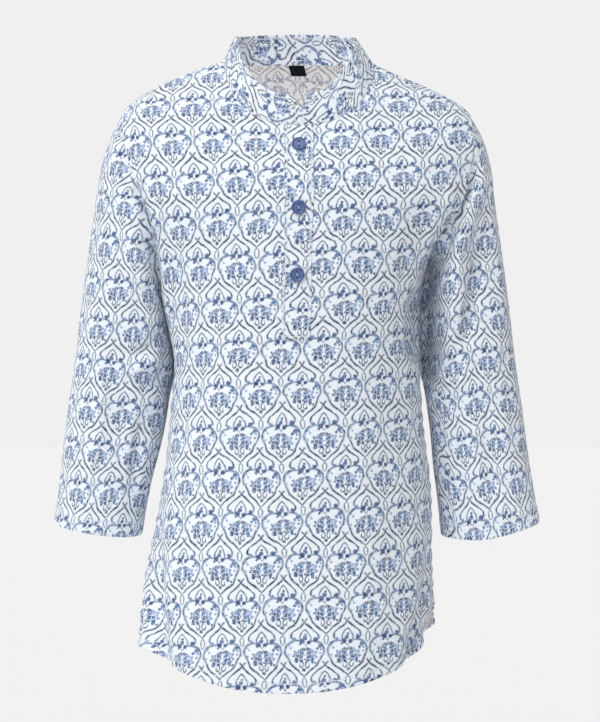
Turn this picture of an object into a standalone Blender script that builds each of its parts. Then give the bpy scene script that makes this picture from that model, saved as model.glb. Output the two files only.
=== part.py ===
"""A toddler's long-sleeve cotton kurta, hollow and filled out as if worn, with no wearer.

Metres, +Z up. The front faces -Y and the origin lies midway between the two points where the
shoulders meet the collar. Each cut piece is a closed wall of cloth: a grid of points over the
piece, worked out from the garment's own sizes, given a thickness along its normals.

The sizes and the shape functions are in millimetres; the meshes are made in metres.
"""

import bmesh
import bpy
import numpy as np
from mathutils import Matrix, Vector

MM = 0.001

# Driving sizes, in millimetres.
WALL = 1.2                 # cloth with its seam allowances, as one wall
SEAM_GAP = 0.3             # between two pieces that are sewn together
NECK_GAP = 0.5             # at the neckline, whose two sides twist past each other
COLLAR_WALL = 2.0          # two layers of cloth and the stiffening between them
LABEL_WALL = 1.0

SHOULDER_Z = -34.0         # the sleeve's highest point on the armhole
UNDERARM_Z = -178.0
ARMHOLE_DEPTH = 35.0       # from the shoulder line forward, and back
ARMHOLE_ROUNDNESS = 1.7    # its exponent, seen from the side
ROUNDNESS = 2.2            # exponent of the body's level lines: 2 is an ellipse
VENT_TOP_Z = -385.0

NECK_X = 2.0               # the neckline sits a little to the right of the middle
NECK_HALF = 59.0           # half the neckline's width
NECK_Y = -4.0              # where the neckline crosses the shoulder seam
NECK_SIDE_Z = 7.0
COLLAR_X = -1.0
COLLAR_HALF = 47.0         # half the collar's width at its top edge
COLLAR_ROUNDNESS = 2.6
COLLAR_SIDE_Z = 26.5
COLLAR_DIP = 1.9
NOTCH_X = 3.4              # the opening between the collar's ends, at the top
NOTCH_HALF = 6.5
NOTCH_START = 0.42         # share of the collar's height below which its ends meet

PLACKET_HALF = 11.5
PLACKET_BOTTOM_Z = -214.0
BUTTON_Z = {"button_top": -62.0, "button_middle": -112.0, "button_bottom": -164.5}
BUTTON_RADIUS = 5.7
BUTTON_THICK = 2.2
HOLE_RADIUS = 0.85
HOLE_SPACING = 3.9
LABEL_LEFT, LABEL_RIGHT, LABEL_TOP, LABEL_DROP, LABEL_SKEW = -6.4, 6.0, 1.2, 8.5, 2.2

# Where each panel ends, seen from the front: the armhole down to the underarm, then the side.
SIDE = (
    ("z", "left", "right"),
    (-34.0, 137.5, 138.5),
    (-57.0, 137.0, 140.5),
    (-80.0, 130.0, 137.0),
    (-105.5, 119.8, 130.5),
    (-122.0, 114.5, 119.0),
    (-140.0, 110.5, 107.5),
    (-160.0, 108.0, 100.5),
    (-178.0, 107.0, 97.5),
    (-192.0, 103.5, 97.0),
    (-214.0, 99.5, 97.2),
    (-236.0, 97.2, 98.0),
    (-256.0, 98.8, 99.2),
    (-280.0, 101.0, 100.8),
    (-306.0, 103.4, 104.0),
    (-330.0, 106.8, 106.8),
    (-360.0, 111.4, 107.8),
    (-385.0, 114.8, 107.8),
    (-420.0, 116.8, 107.8),
    (-457.0, 119.0, 107.0),
)

# How far the front and the back stand from the shoulder line along the middle of the body.
DEPTH = (
    ("z", "front", "back"),
    (-105.5, 77.5, 73.5),
    (-140.0, 79.0, 75.0),
    (-178.0, 80.0, 75.0),
    (-250.0, 79.0, 71.0),
    (-330.0, 80.0, 70.0),
    (-400.0, 82.0, 73.0),
    (-490.0, 84.0, 77.0),
)

# Half the body's width from its middle line to where its level lines turn round. The panels'
# edges are drawn in or out from it to meet the table above.
GIRTH = (
    ("z", "left", "right"),
    (-105.5, 133.0, 138.5),
    (-122.0, 125.5, 129.5),
    (-140.0, 118.0, 120.5),
    (-160.0, 111.5, 112.0),
    (-178.0, 107.5, 106.0),
    (-192.0, 104.0, 102.5),
    (-214.0, 99.5, 100.0),
    (-236.0, 96.5, 99.3),
    (-256.0, 97.3, 100.7),
    (-280.0, 99.7, 102.9),
    (-306.0, 102.8, 106.7),
    (-330.0, 105.7, 110.1),
    (-360.0, 108.7, 111.8),
    (-385.0, 110.0, 112.4),
    (-420.0, 109.0, 113.2),
    (-457.0, 107.5, 113.3),
)

# The two body panels. neck_roundness is the neckline's exponent seen from above, and roundness
# the crown's seen from the side. ridge_lift and ridge_sag shape the shoulder line as it would run
# on across the neck. vent_left and vent_right are how far each vent edge swings by the hem.
PANELS = {
    "front": dict(facing=-1, neck_depth=46.0, neck_roundness=3.0, roundness=1.35,
                  ridge_lift=12.0, ridge_sag=-20.4, collar_y=-48.0, collar_z=-22.5,
                  hem_side=-457.0, hem_drop=32.0, vent_left=20.0, vent_right=28.0, vent_out=0.0, vent_in=7.0),
    "back": dict(facing=1, neck_depth=42.0, neck_roundness=2.2, roundness=2.2,
                 ridge_lift=19.0, ridge_sag=0.0, collar_y=33.0, collar_z=32.0,
                 hem_side=-441.0, hem_drop=33.0, vent_left=4.0, vent_right=6.0, vent_out=2.5, vent_in=0.0),
}

# The largest folds of the body: u runs from -1 at the left edge to 1 at the right.
BODY_FOLDS = (
    ("panel", "u_top", "u_bottom", "z_top", "z_bottom", "width", "height"),
    ("front", -0.97, -0.98, -345.0, -440.0, 0.10, 6.5),
    ("front", -0.80, -0.81, -330.0, -430.0, 0.09, -8.0),
    ("front", -0.60, -0.62, -320.0, -430.0, 0.11, 3.5),
    ("front", 0.84, 0.82, -340.0, -450.0, 0.08, -5.0),
    ("front", 0.64, 0.64, -330.0, -440.0, 0.10, 2.5),
    ("front", 0.36, 0.40, -330.0, -450.0, 0.12, 2.0),
    ("back", -0.55, -0.60, -260.0, -430.0, 0.12, 4.0),
    ("back", 0.10, 0.05, -260.0, -430.0, 0.12, -4.0),
    ("back", 0.60, 0.66, -260.0, -430.0, 0.12, 4.0),
)

# The sleeve's sections, from the armhole (t = 0) to the cuff (t = 1). outer is its outside line
# and inner_z the height of its inside line, which hangs clear of the body's side by the gaps.
SLEEVE = (
    ("t", "outer_x", "outer_z", "inner_z", "gap_left", "gap_right", "depth", "set_back"),
    (0.00, 138.0, -34.0, -178.0, 1.6, 1.6, 35.0, 0.0),
    (0.08, 148.5, -52.0, -184.0, 1.9, 1.9, 36.0, 1.0),
    (0.18, 155.5, -76.0, -192.0, 2.0, 2.0, 37.0, 3.0),
    (0.30, 158.5, -103.0, -203.0, 2.0, 2.0, 37.5, 6.0),
    (0.42, 163.5, -138.0, -218.0, 2.0, 2.0, 36.5, 9.0),
    (0.54, 169.5, -181.0, -236.0, 2.2, 2.2, 35.0, 11.0),
    (0.66, 175.0, -228.0, -257.0, 4.6, 4.2, 33.0, 12.0),
    (0.78, 181.0, -270.0, -284.0, 4.8, 6.0, 31.0, 12.0),
    (0.90, 187.5, -318.0, -327.0, 10.2, 5.0, 29.0, 11.0),
    (1.00, 194.5, -359.0, -369.0, 11.6, 8.4, 27.0, 9.0),
)
SLEEVE_ROUNDNESS = 2.1
CUFF_SLANT = 0.2           # the cuff's front edge hangs lower than its back, by this slope
HEAD_BLEND = 0.34          # the sleeve has left the armhole's own outline by this t

# The largest folds of the sleeves. turn is the angle round the sleeve from its outside line,
# forward: 90 is the front and 180 the underside.
SLEEVE_FOLDS = (
    ("sleeve", "turn", "turn_end", "t_start", "t_end", "width", "height"),
    ("left", 128.0, 150.0, 0.02, 0.22, 26.0, -7.0),
    ("left", 96.0, 118.0, 0.10, 0.50, 22.0, 3.0),
    ("right", 100.0, 150.0, 0.02, 0.26, 26.0, -7.0),
    ("right", 60.0, 84.0, 0.20, 0.62, 18.0, -3.5),
    ("left", 262.0, 240.0, 0.06, 0.42, 26.0, -4.0),
    ("right", 262.0, 240.0, 0.06, 0.42, 26.0, -4.0),
)

# How finely the cloth is faceted.
NECK_COLUMNS = 5
SHOULDER_COLUMNS = 6
TOP_ROWS = 6
ARMHOLE_ROWS = 5
BODY_LEVELS = (-202.0, -228.0, -254.0, -284.0, -318.0, -352.0, -385.0)
HEM_ROWS = 4
SLEEVE_STATIONS = (0.0, 0.04, 0.08, 0.13, 0.19, 0.27, 0.36, 0.45, 0.54, 0.64, 0.74, 0.83, 0.92, 1.0)


def read(table, column, at):
    """Smooth curve through one column of a table whose first column only rises or only falls."""
    names, rows = table[0], np.array(table[1:], float)
    sense = np.sign(rows[1, 0] - rows[0, 0])
    knot, value = sense * rows[:, 0], rows[:, names.index(column)]
    slope = np.gradient(value, knot)
    x = np.clip(sense * np.asarray(at, float), knot[0], knot[-1])
    i = np.clip(np.searchsorted(knot, x, side="right") - 1, 0, len(knot) - 2)
    step = knot[i + 1] - knot[i]
    t = (x - knot[i]) / step
    start = (1 + 2 * t) * (1 - t) ** 2 * value[i] + t * (1 - t) ** 2 * step * slope[i]
    end = t * t * (3 - 2 * t) * value[i + 1] + t * t * (t - 1) * step * slope[i + 1]
    return start + end


def ease(low, high, at):
    """0 up to low, 1 from high on, and a smooth step between them."""
    t = np.clip((np.asarray(at, float) - low) / (high - low), 0, 1)
    return t * t * (3 - 2 * t)


def rounded(cosine, roundness=ROUNDNESS):
    """A cosine or sine with a superellipse's exponent."""
    return np.clip(cosine, 0, 1) ** (2 / roundness)


def unit(vectors):
    return vectors / np.linalg.norm(vectors, axis=-1, keepdims=True)


# ---- the body's level lines -------------------------------------------------------------------

CHEST_Z = (SHOULDER_Z + UNDERARM_Z) / 2
ARMHOLE_HALF = (SHOULDER_Z - UNDERARM_Z) / 2


def centre_x(z):
    """The middle line drifts to the left on its way down to the hem."""
    return NECK_X - 9 * np.clip((CHEST_Z - z) / 383.5, 0, 1)


def edge_angle(panel, left, z):
    """Angle round the body, from the middle of the panel, at which the panel ends."""
    shape = PANELS[panel]
    reach = read(DEPTH, panel, z)
    down = np.clip(np.abs(z - CHEST_Z) / ARMHOLE_HALF, 0, 1)
    armhole = ARMHOLE_DEPTH * (1 - down ** ARMHOLE_ROUNDNESS) ** (1 / ARMHOLE_ROUNDNESS)
    swing = np.where(left, shape["vent_left"], shape["vent_right"])
    vent = swing * np.clip((VENT_TOP_Z - z) / 72, 0, 1.1) ** 1.5
    forward = np.where(z > UNDERARM_Z, armhole, vent)
    return np.arccos((forward / reach) ** (ROUNDNESS / 2))


def level_point(panel, u, z):
    """Points at height z, u of the way round from the middle (0) to the panel's edge (-1, 1)."""
    left = u < 0
    edge = edge_angle(panel, left, z)
    width = np.where(left, read(GIRTH, "left", z), read(GIRTH, "right", z))
    side = np.where(left, read(SIDE, "left", z) + centre_x(z), read(SIDE, "right", z) - centre_x(z))
    side = side + PANELS[panel]["vent_out"] * ease(-VENT_TOP_Z, 60 - VENT_TOP_Z, -z)
    side = side - np.where(left, 0, PANELS[panel]["vent_in"]) * ease(36 - VENT_TOP_Z, 62 - VENT_TOP_Z, -z)
    angle = np.abs(u) * edge
    drawn = (side - width * rounded(np.sin(edge))) * ease(0.55, 1, np.abs(u))
    x = centre_x(z) + np.sign(u) * (width * rounded(np.sin(angle)) + drawn)
    y = PANELS[panel]["facing"] * read(DEPTH, panel, z) * rounded(np.cos(angle))
    return np.stack([x, y, z * np.ones_like(x)], -1)


def chest_fraction(panel):
    """u against the share of the chest level's cloth, on each side, as two tables."""
    tables = {}
    for left in (True, False):
        u = np.linspace(0, 1, 200) * (-1 if left else 1)
        line = level_point(panel, u, np.full_like(u, CHEST_Z))
        length = np.concatenate([[0], np.cumsum(np.linalg.norm(np.diff(line, axis=0), axis=1))])
        tables[left] = (np.abs(u), length / length[-1], length[-1])
    return tables


def neck_share(left):
    """Share of a panel's half that runs up to the neckline and not to the shoulder."""
    side = read(SIDE, "left", SHOULDER_Z) + NECK_X if left else read(SIDE, "right", SHOULDER_Z) - NECK_X
    return NECK_HALF / side


def neck_fall(along, roundness):
    """0 at the side of the neck and 1 in the middle of the front or the back, seen from above."""
    return np.clip(1 - np.abs(along) ** roundness, 0, 1) ** (1 / roundness)


def top_point(panel, share, u, down):
    """Points between the neckline or the shoulder seam (down = 0) and the chest level (down = 1).

    Each column follows a quarter of a superellipse from the shoulder line over to the chest, and
    those inside the neck's width start where the neckline cuts it.
    """
    shape = PANELS[panel]
    end = level_point(panel, u, np.full_like(u, CHEST_Z))
    neck = np.where(share < 0, neck_share(True), neck_share(False))
    along = np.abs(share) / neck
    past = np.clip((np.abs(share) - neck) / (1 - neck), 0, 1)
    roundness = shape["roundness"] + (ARMHOLE_ROUNDNESS - shape["roundness"]) * ease(0, 1, past)
    ridge_y = NECK_Y * (1 - past)
    inside = 1 - np.minimum(along, 1) ** 2
    ridge_z = NECK_SIDE_Z + shape["ridge_lift"] * inside + shape["ridge_sag"] * inside ** 2
    ridge_z = ridge_z - (NECK_SIDE_Z - SHOULDER_Z - 9) * past - 9 * past ** 6
    cut = shape["neck_depth"] * neck_fall(np.minimum(along, 1), shape["neck_roundness"])
    cut = cut / np.abs(end[..., 1] - ridge_y)
    first = np.arcsin(cut ** (roundness / 2))
    angle = first + (np.pi / 2 - first) * down
    out = rounded(np.sin(angle), roundness)
    fall = 1 - rounded(np.cos(angle), roundness)
    edge_z = CHEST_Z + ARMHOLE_HALF * (1 - fall)
    column = np.where(share < 0, read(SIDE, "left", edge_z), read(SIDE, "right", edge_z))
    shoulder = np.where(share < 0, read(SIDE, "left", SHOULDER_Z), read(SIDE, "right", SHOULDER_Z))
    chest = np.where(share < 0, read(SIDE, "left", CHEST_Z), read(SIDE, "right", CHEST_Z))
    inward = (column - shoulder) / (chest - shoulder)
    start = np.stack([NECK_X + np.sign(share) * along * NECK_HALF, ridge_y, ridge_z], -1)
    return start + (end - start) * np.stack([inward, out, fall], -1)


def hem_z(panel, u):
    """The hem's height: lowest in the middle, up to the vents."""
    shape = PANELS[panel]
    return shape["hem_side"] - shape["hem_drop"] * np.cos(np.abs(u) * np.pi / 2) ** 1.1


def body_fold(panel, u, z):
    """How far the cloth stands out of its smooth form, from the table of folds."""
    total = np.zeros_like(z)
    for owner, u_top, u_bottom, z_top, z_bottom, width, height in BODY_FOLDS[1:]:
        if owner != panel:
            continue
        down = ease(-z_top, -z_bottom, -z)
        line = u_top + (u_bottom - u_top) * down
        total = total + height * down * np.exp(-(((u - line) / width) ** 2))
    return total


def normals_of(points, outward, ring=False):
    """Unit normals of a grid of points, pointing out of the garment."""
    if ring:
        across = np.roll(points, -1, 1) - np.roll(points, 1, 1)
    else:
        across = np.gradient(points, axis=1)
    return unit(np.cross(across, np.gradient(points, axis=0)) * outward)


def share_to_u(panel, share):
    tables = chest_fraction(panel)
    size = np.abs(share)
    left = np.interp(size, tables[True][1], tables[True][0])
    right = np.interp(size, tables[False][1], tables[False][0])
    return np.sign(share) * np.where(share < 0, left, right)


def panel_shares(panel):
    """Columns of a panel, from its left edge to its right, with one at each neck point."""
    turn = np.linspace(0, np.pi / 2, NECK_COLUMNS + 1)
    halves = []
    for left in (True, False):
        neck = neck_share(left)
        inner = neck * rounded(np.sin(turn), PANELS[panel]["neck_roundness"])
        outer = np.linspace(neck, 1, SHOULDER_COLUMNS + 1)[1:]
        halves.append(np.concatenate([inner, outer]))
    return np.concatenate([-halves[0][:0:-1], halves[1]])


def panel_surface(panel, share, top_down, levels, hem_down):
    """A panel's grid of points and normals, and the row that holds the underarm.

    top_down are the rows' places between the top edge and the chest, levels their heights from
    there to the vent, and hem_down their places from the last level to the hem.
    """
    u = share_to_u(panel, share)
    rows = [top_point(panel, share, u, np.full_like(u, down)) for down in top_down]
    rows += [level_point(panel, u, np.full_like(u, z)) for z in levels]
    last = levels[-1]
    rows += [level_point(panel, u, last + (hem_z(panel, u) - last) * down) for down in hem_down]
    points = np.stack(rows)
    facing = PANELS[panel]["facing"]
    normal = normals_of(points, facing)
    points = points + normal * body_fold(panel, u[None, :], points[..., 2])[..., None]
    points[..., 1] += facing * SEAM_GAP / 2
    normal = normals_of(points, facing)
    # At the side seams and on the shoulder line both panels' edges face straight out.
    side_rows = (points[:, 0, 2] < UNDERARM_Z + 1) & (points[:, 0, 2] > VENT_TOP_Z - 1)
    for column in (0, -1):
        normal[side_rows, column, 1] = 0
    shoulder = np.abs(share) > neck_share(True) * 0.999
    normal[0, shoulder, 1] = 0
    return points, unit(normal)


ARMHOLE_LEVELS = tuple(
    CHEST_Z - ARMHOLE_HALF * np.sin(np.pi / 2 * (i + 1) / ARMHOLE_ROWS) for i in range(ARMHOLE_ROWS)
)
PANEL_TOP_DOWN = np.linspace(0, 1, TOP_ROWS + 1)
PANEL_LEVELS = ARMHOLE_LEVELS + BODY_LEVELS
PANEL_HEM_DOWN = np.linspace(0, 1, HEM_ROWS + 1)[1:]
ARMHOLE_POINTS = TOP_ROWS + ARMHOLE_ROWS + 1


# ---- meshes -----------------------------------------------------------------------------------


def material(name, colour, roughness, metallic=0.0):
    made = bpy.data.materials.new(name)
    made.use_nodes = True
    shader = made.node_tree.nodes["Principled BSDF"]
    shader.inputs["Base Color"].default_value = (*colour, 1)
    shader.inputs["Roughness"].default_value = roughness
    shader.inputs["Metallic"].default_value = metallic
    return made


def finish(name, mesh, finish_material, smooth_below=50):
    """Links a mesh as a named object with its material, shaded smooth but for its sharp edges."""
    mesh.materials.append(finish_material)
    mesh.shade_smooth()
    mesh.set_sharp_from_angle(angle=np.radians(smooth_below))
    made = bpy.data.objects.new(name, mesh)
    bpy.context.scene.collection.objects.link(made)
    return made


def settle(points):
    """Where a point comes to rest as the garment hangs unevenly: the left shoulder a little higher,
    the right one lower, the left sleeve further out, the right cuff and the collar's edge longer.
    Each is a smooth step of the point's X and Z."""
    x, z = points[..., 0], points[..., 2]
    high = ease(-95, -35, z)
    up = 3.0 * high * ease(35, 80, -x) - 1.9 * high * ease(40, 80, x) * (1 - ease(110, 140, x))
    up = up + 1.2 * ease(14, 28, z)
    up = up - 3.2 * ease(330, 366, -z) * np.exp(-(((x - 150) / 26) ** 2))
    out = -2.3 * ease(120, 155, -x) * ease(50, 110, -z) * (1 - ease(290, 350, -z))
    return points + np.stack([out, 0 * out, up], -1)


def cloth_wall(name, points, offset, thick, cloth, ring=False):
    """A closed wall about a grid of points: its outer face, its inner face and its cut edges.

    offset is the unit normal at each point, or longer along a mitred edge.
    """
    rows, columns = points.shape[:2]
    half = offset * thick / 2
    vertices = np.concatenate([(points + half).reshape(-1, 3), (points - half).reshape(-1, 3)])
    vertices = settle(vertices) * MM
    index = np.arange(rows * columns).reshape(rows, columns)
    if ring:
        index = np.concatenate([index, index[:, :1]], axis=1)
    under = index + rows * columns

    def quads(a, b, c, d):
        return np.stack([a, b, c, d], -1).reshape(-1, 4)

    faces = [
        quads(index[:-1, :-1], index[:-1, 1:], index[1:, 1:], index[1:, :-1]),
        quads(under[:-1, :-1], under[1:, :-1], under[1:, 1:], under[:-1, 1:]),
        quads(index[0, :-1], under[0, :-1], under[0, 1:], index[0, 1:]),
        quads(index[-1, :-1], index[-1, 1:], under[-1, 1:], under[-1, :-1]),
    ]
    if not ring:
        faces.append(quads(index[:-1, 0], index[1:, 0], under[1:, 0], under[:-1, 0]))
        faces.append(quads(index[:-1, -1], under[:-1, -1], under[1:, -1], index[1:, -1]))
    mesh = bpy.data.meshes.new(name)
    mesh.from_pydata(vertices.tolist(), [], np.concatenate(faces).tolist())
    shell = bmesh.new()
    shell.from_mesh(mesh)
    bmesh.ops.recalc_face_normals(shell, faces=shell.faces)
    shell.to_mesh(mesh)
    shell.free()
    return finish(name, mesh, cloth)


# ---- the body and the collar ------------------------------------------------------------------


def neck_ring(front, back):
    """One value a column from both panels' top rows, round from the centre front by the right."""
    middle, n = front.shape[1] // 2, NECK_COLUMNS
    right = (front[0, middle + n] + back[0, middle + n]) / 2
    left = (front[0, middle - n] + back[0, middle - n]) / 2
    return np.concatenate([
        front[0, middle:middle + n], [right], back[0, middle + n - 1:middle - n:-1], [left],
        front[0, middle - n + 1:middle + 1],
    ])


def collar_surface(low):
    """The band's grid, from its top edge down to the ring of neckline points."""
    columns = len(low)
    sign = np.where(np.arange(columns) < columns // 2, 1.0, -1.0)
    facing_back = (np.arange(columns) > NECK_COLUMNS) & (np.arange(columns) < columns - 1 - NECK_COLUMNS)
    along = np.abs(low[:, 0] - NECK_X) / NECK_HALF
    centre = COLLAR_X + (NOTCH_X - COLLAR_X) * (1 - along) * ~facing_back
    rows = []
    for height in (1.0, 0.72, NOTCH_START, 0.0):
        spread = NOTCH_HALF * max(0, (height - NOTCH_START) / (1 - NOTCH_START)) ** 1.4
        reach = along * COLLAR_HALF
        reach[[0, -1]] = spread + SEAM_GAP / 2
        x = centre + sign * reach
        fall = neck_fall((x - COLLAR_X) / COLLAR_HALF, COLLAR_ROUNDNESS)
        y_far = np.where(facing_back, PANELS["back"]["collar_y"], PANELS["front"]["collar_y"])
        z_far = np.where(facing_back, PANELS["back"]["collar_z"], PANELS["front"]["collar_z"])
        y = NECK_Y + (y_far - NECK_Y) * fall
        z = COLLAR_SIDE_Z + (z_far - COLLAR_SIDE_Z) * fall ** COLLAR_DIP
        start = low.copy()
        start[0, 0] += spread + SEAM_GAP / 2
        start[-1, 0] -= spread + SEAM_GAP / 2
        rows.append(start + (np.stack([x, y, z], -1) - start) * height)
    return np.stack(rows)


def body_and_collar(cloth):
    """Both panels and the collar band, which meet along the neckline in a mitre."""
    surfaces = {panel: panel_surface(panel, panel_shares(panel), PANEL_TOP_DOWN, PANEL_LEVELS, PANEL_HEM_DOWN)
                for panel in PANELS}
    front, back = surfaces["front"], surfaces["back"]
    neckline = neck_ring(front[0], back[0])
    below = unit(neck_ring(front[1], back[1]))
    along = np.gradient(neckline, axis=0)
    along[[0, -1]] = np.array([1.0, 0, 0])
    along = unit(along)
    band = collar_surface(neckline)
    normal = normals_of(band, -1)
    normal[:, [0, -1], 0] = 0
    normal = unit(normal)
    above = normal[-1]
    mitre = above + below
    mitre = unit(mitre - along * np.sum(mitre * along, -1, keepdims=True))
    lift = unit(np.cross(mitre, along))
    lift *= np.sign(np.sum(lift * (band[0] - band[-1]), -1, keepdims=True))
    band = collar_surface(neckline + lift * NECK_GAP)
    offset = normal.copy()
    offset[-1] = mitre / np.sum(mitre * above, -1, keepdims=True)
    cloth_wall("collar_band", band, offset, COLLAR_WALL, cloth)
    low = mitre / np.sum(mitre * below, -1, keepdims=True)
    n = NECK_COLUMNS
    for panel, (points, normal) in surfaces.items():
        offset = normal.copy()
        middle = offset.shape[1] // 2
        if panel == "front":
            offset[0, middle:middle + n + 1] = low[:n + 1]
            offset[0, middle - n:middle] = low[-n - 1:-1]
        else:
            offset[0, middle - n:middle + n + 1] = low[3 * n:n - 1:-1]
        cloth_wall(panel + "_panel", points, offset, WALL, cloth)
    return front, back


# ---- the sleeves ------------------------------------------------------------------------------


def sleeve_ring(side, t, turn):
    """Points of the sleeve's own tube: t along it, turn round it from its outside line."""
    sign = -1 if side == "left" else 1
    inner_z = read(SLEEVE, "inner_z", t)
    inner_x = read(SIDE, side, inner_z) + read(SLEEVE, "gap_" + side, t)
    outer_x, outer_z = read(SLEEVE, "outer_x", t), read(SLEEVE, "outer_z", t)
    depth = read(SLEEVE, "depth", t)
    across = np.sign(np.cos(turn)) * rounded(np.abs(np.cos(turn)), SLEEVE_ROUNDNESS)
    forward = np.sign(np.sin(turn)) * rounded(np.abs(np.sin(turn)), SLEEVE_ROUNDNESS)
    x = (outer_x + inner_x) / 2 + across * (outer_x - inner_x) / 2
    y = read(SLEEVE, "set_back", t) - forward * depth
    z = (outer_z + inner_z) / 2 + across * (outer_z - inner_z) / 2
    z = z - forward * depth * CUFF_SLANT * ease(0.55, 1.0, t)
    return np.stack([sign * x, y, z], -1)


def sleeve_fold(side, t, turn):
    total = np.zeros_like(t * turn)
    for owner, start, end, t_start, t_end, width, height in SLEEVE_FOLDS[1:]:
        if owner != side:
            continue
        along = np.clip((t - t_start) / (t_end - t_start), 0, 1)
        line = np.radians(start + (end - start) * along)
        total = total + height * np.sin(np.pi * along) * np.exp(-(((turn - line) / np.radians(width)) ** 2))
    return total


def sleeve(side, armhole, cloth):
    """A sleeve whose first ring lies on the armhole and whose others are its own tube's."""
    count = len(armhole)
    turn = (2 * np.pi * np.arange(count) / count)[None, :]
    t = np.array(SLEEVE_STATIONS)[:, None]
    outward = -1 if side == "left" else 1
    own = sleeve_ring(side, t, turn)
    own = own + normals_of(own, outward, ring=True) * sleeve_fold(side, t, turn)[..., None]
    leave = (1 - ease(0, HEAD_BLEND, t))[..., None]
    points = own + leave * (armhole[None] - own[:1])
    normal = normals_of(points, outward, ring=True)
    cloth_wall("sleeve_" + side, points, normal, WALL, cloth, ring=True)


def armhole_line(side, front, back):
    """The armhole round from the shoulder, down the front and up the back, lifted clear of it."""
    column = 0 if side == "left" else -1
    lift = WALL + SEAM_GAP
    lines = []
    for points, normal in (front, back):
        lines.append((points + normal * lift)[:ARMHOLE_POINTS, column])
    top = (lines[0][0] + lines[1][0]) / 2
    under = (lines[0][-1] + lines[1][-1]) / 2
    return np.concatenate([[top], lines[0][1:-1], [under], lines[1][-2:0:-1]])


# ---- what lies on the panels ------------------------------------------------------------------


def patch(surface, shares, across, down):
    """Part of a panel's own grid: across are shares of its width and down are row numbers."""
    column = np.interp(across, shares, np.arange(len(shares)))
    parts = []
    for grid in surface:
        i = np.clip(np.floor(down).astype(int), 0, grid.shape[0] - 2)
        j = np.clip(np.floor(column).astype(int), 0, grid.shape[1] - 2)
        v = (down - i)[:, None, None]
        w = (column - j)[None, :, None]
        upper = grid[i][:, j] * (1 - w) + grid[i][:, j + 1] * w
        lower = grid[i + 1][:, j] * (1 - w) + grid[i + 1][:, j + 1] * w
        parts.append(upper * (1 - v) + lower * v)
    return parts[0], unit(parts[1])


def placket(front, shares, cloth):
    """The buttoned strip, made from the front panel's own points and moved out."""
    share = np.array([-1.0, 0.0, 1.0]) * PLACKET_HALF / chest_fraction("front")[False][2]
    last = np.interp(-PLACKET_BOTTOM_Z, -front[0][:, len(shares) // 2, 2], np.arange(len(front[0])))
    down = np.concatenate([[0.1], np.arange(1, np.ceil(last)), [last]])
    points, normal = patch(front, shares, share, down)
    cloth_wall("placket", points + normal * (WALL + SEAM_GAP), normal, WALL, cloth)
    return points[:, 1] + normal[:, 1] * (WALL * 1.5 + SEAM_GAP), normal[:, 1]


def button(name, seat, facing, plastic):
    """A turned button with a rim, a dished face and two holes, one above the other."""
    rim = BUTTON_RADIUS
    profile = ((0, 0), (rim - 0.6, 0), (rim, 0.5), (rim, BUTTON_THICK - 0.5), (rim - 0.5, BUTTON_THICK),
               (rim - 1.3, BUTTON_THICK), (rim - 1.9, BUTTON_THICK - 0.6), (0, BUTTON_THICK - 0.6))
    turned = bmesh.new()
    points = [turned.verts.new(Vector((r * MM, 0, z * MM))) for r, z in profile]
    edges = [turned.edges.new(pair) for pair in zip(points, points[1:])]
    bmesh.ops.spin(turned, geom=points + edges, axis=(0, 0, 1), cent=(0, 0, 0), steps=24,
                   angle=2 * np.pi, use_merge=True)
    bmesh.ops.remove_doubles(turned, verts=turned.verts, dist=1e-6)
    bmesh.ops.recalc_face_normals(turned, faces=turned.faces)
    mesh = bpy.data.meshes.new(name)
    turned.to_mesh(mesh)
    turned.free()
    made = finish(name, mesh, plastic, smooth_below=35)

    drill = bmesh.new()
    for y in (-HOLE_SPACING / 2, HOLE_SPACING / 2):
        bmesh.ops.create_cone(drill, segments=10, radius1=HOLE_RADIUS * MM, radius2=HOLE_RADIUS * MM,
                              depth=4 * BUTTON_THICK * MM, cap_ends=True,
                              matrix=Matrix.Translation((0, y * MM, 0)))
    drill_mesh = bpy.data.meshes.new(name + "_drill")
    drill.to_mesh(drill_mesh)
    drill.free()
    cutter = bpy.data.objects.new(name + "_drill", drill_mesh)
    bpy.context.scene.collection.objects.link(cutter)
    cutter.hide_render = True
    cutter.display_type = "WIRE"
    holes = made.modifiers.new("thread holes", "BOOLEAN")
    holes.operation = "DIFFERENCE"
    holes.object = cutter

    z_axis = Vector(facing).normalized()
    x_axis = Vector((1, 0, 0))
    x_axis = (x_axis - z_axis * x_axis.dot(z_axis)).normalized()
    y_axis = z_axis.cross(x_axis)
    turn = Matrix((x_axis, y_axis, z_axis)).transposed().to_4x4()
    place = Matrix.Translation(Vector((seat + facing * SEAM_GAP) * MM)) @ turn
    made.matrix_world = place
    cutter.matrix_world = place


def buttons(line, normal, plastic):
    for name, z in BUTTON_Z.items():
        heights = -line[:, 2]
        seat = np.array([np.interp(-z, heights, line[:, i]) for i in range(3)])
        facing = np.array([np.interp(-z, heights, normal[:, i]) for i in range(3)])
        button(name, seat, facing / np.linalg.norm(facing), plastic)


def neck_label(back, shares, cloth):
    """The label hangs from the neckline seam inside the back, made from the back's own points."""
    length = chest_fraction("back")[False][2]
    left, right = (LABEL_LEFT - NECK_X) / length, (LABEL_RIGHT - NECK_X) / length
    grid = back[0][:, len(shares) // 2]
    fallen = np.concatenate([[0], np.cumsum(np.linalg.norm(np.diff(grid, axis=0), axis=1))])
    rows = []
    for drop in (LABEL_TOP, LABEL_TOP + LABEL_DROP):
        lean = LABEL_SKEW * (drop - LABEL_TOP) / LABEL_DROP / length
        across = np.array([left + lean, 0, right + lean])
        rows.append(patch(back, shares, across, np.interp([drop], fallen, np.arange(len(fallen)))))
    points = np.concatenate([row[0] for row in rows])
    normal = np.concatenate([row[1] for row in rows])
    inside = (WALL + LABEL_WALL) / 2 + SEAM_GAP
    cloth_wall("neck_label", points - normal * inside, normal, LABEL_WALL, cloth)


# ---- the whole garment ------------------------------------------------------------------------


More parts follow.
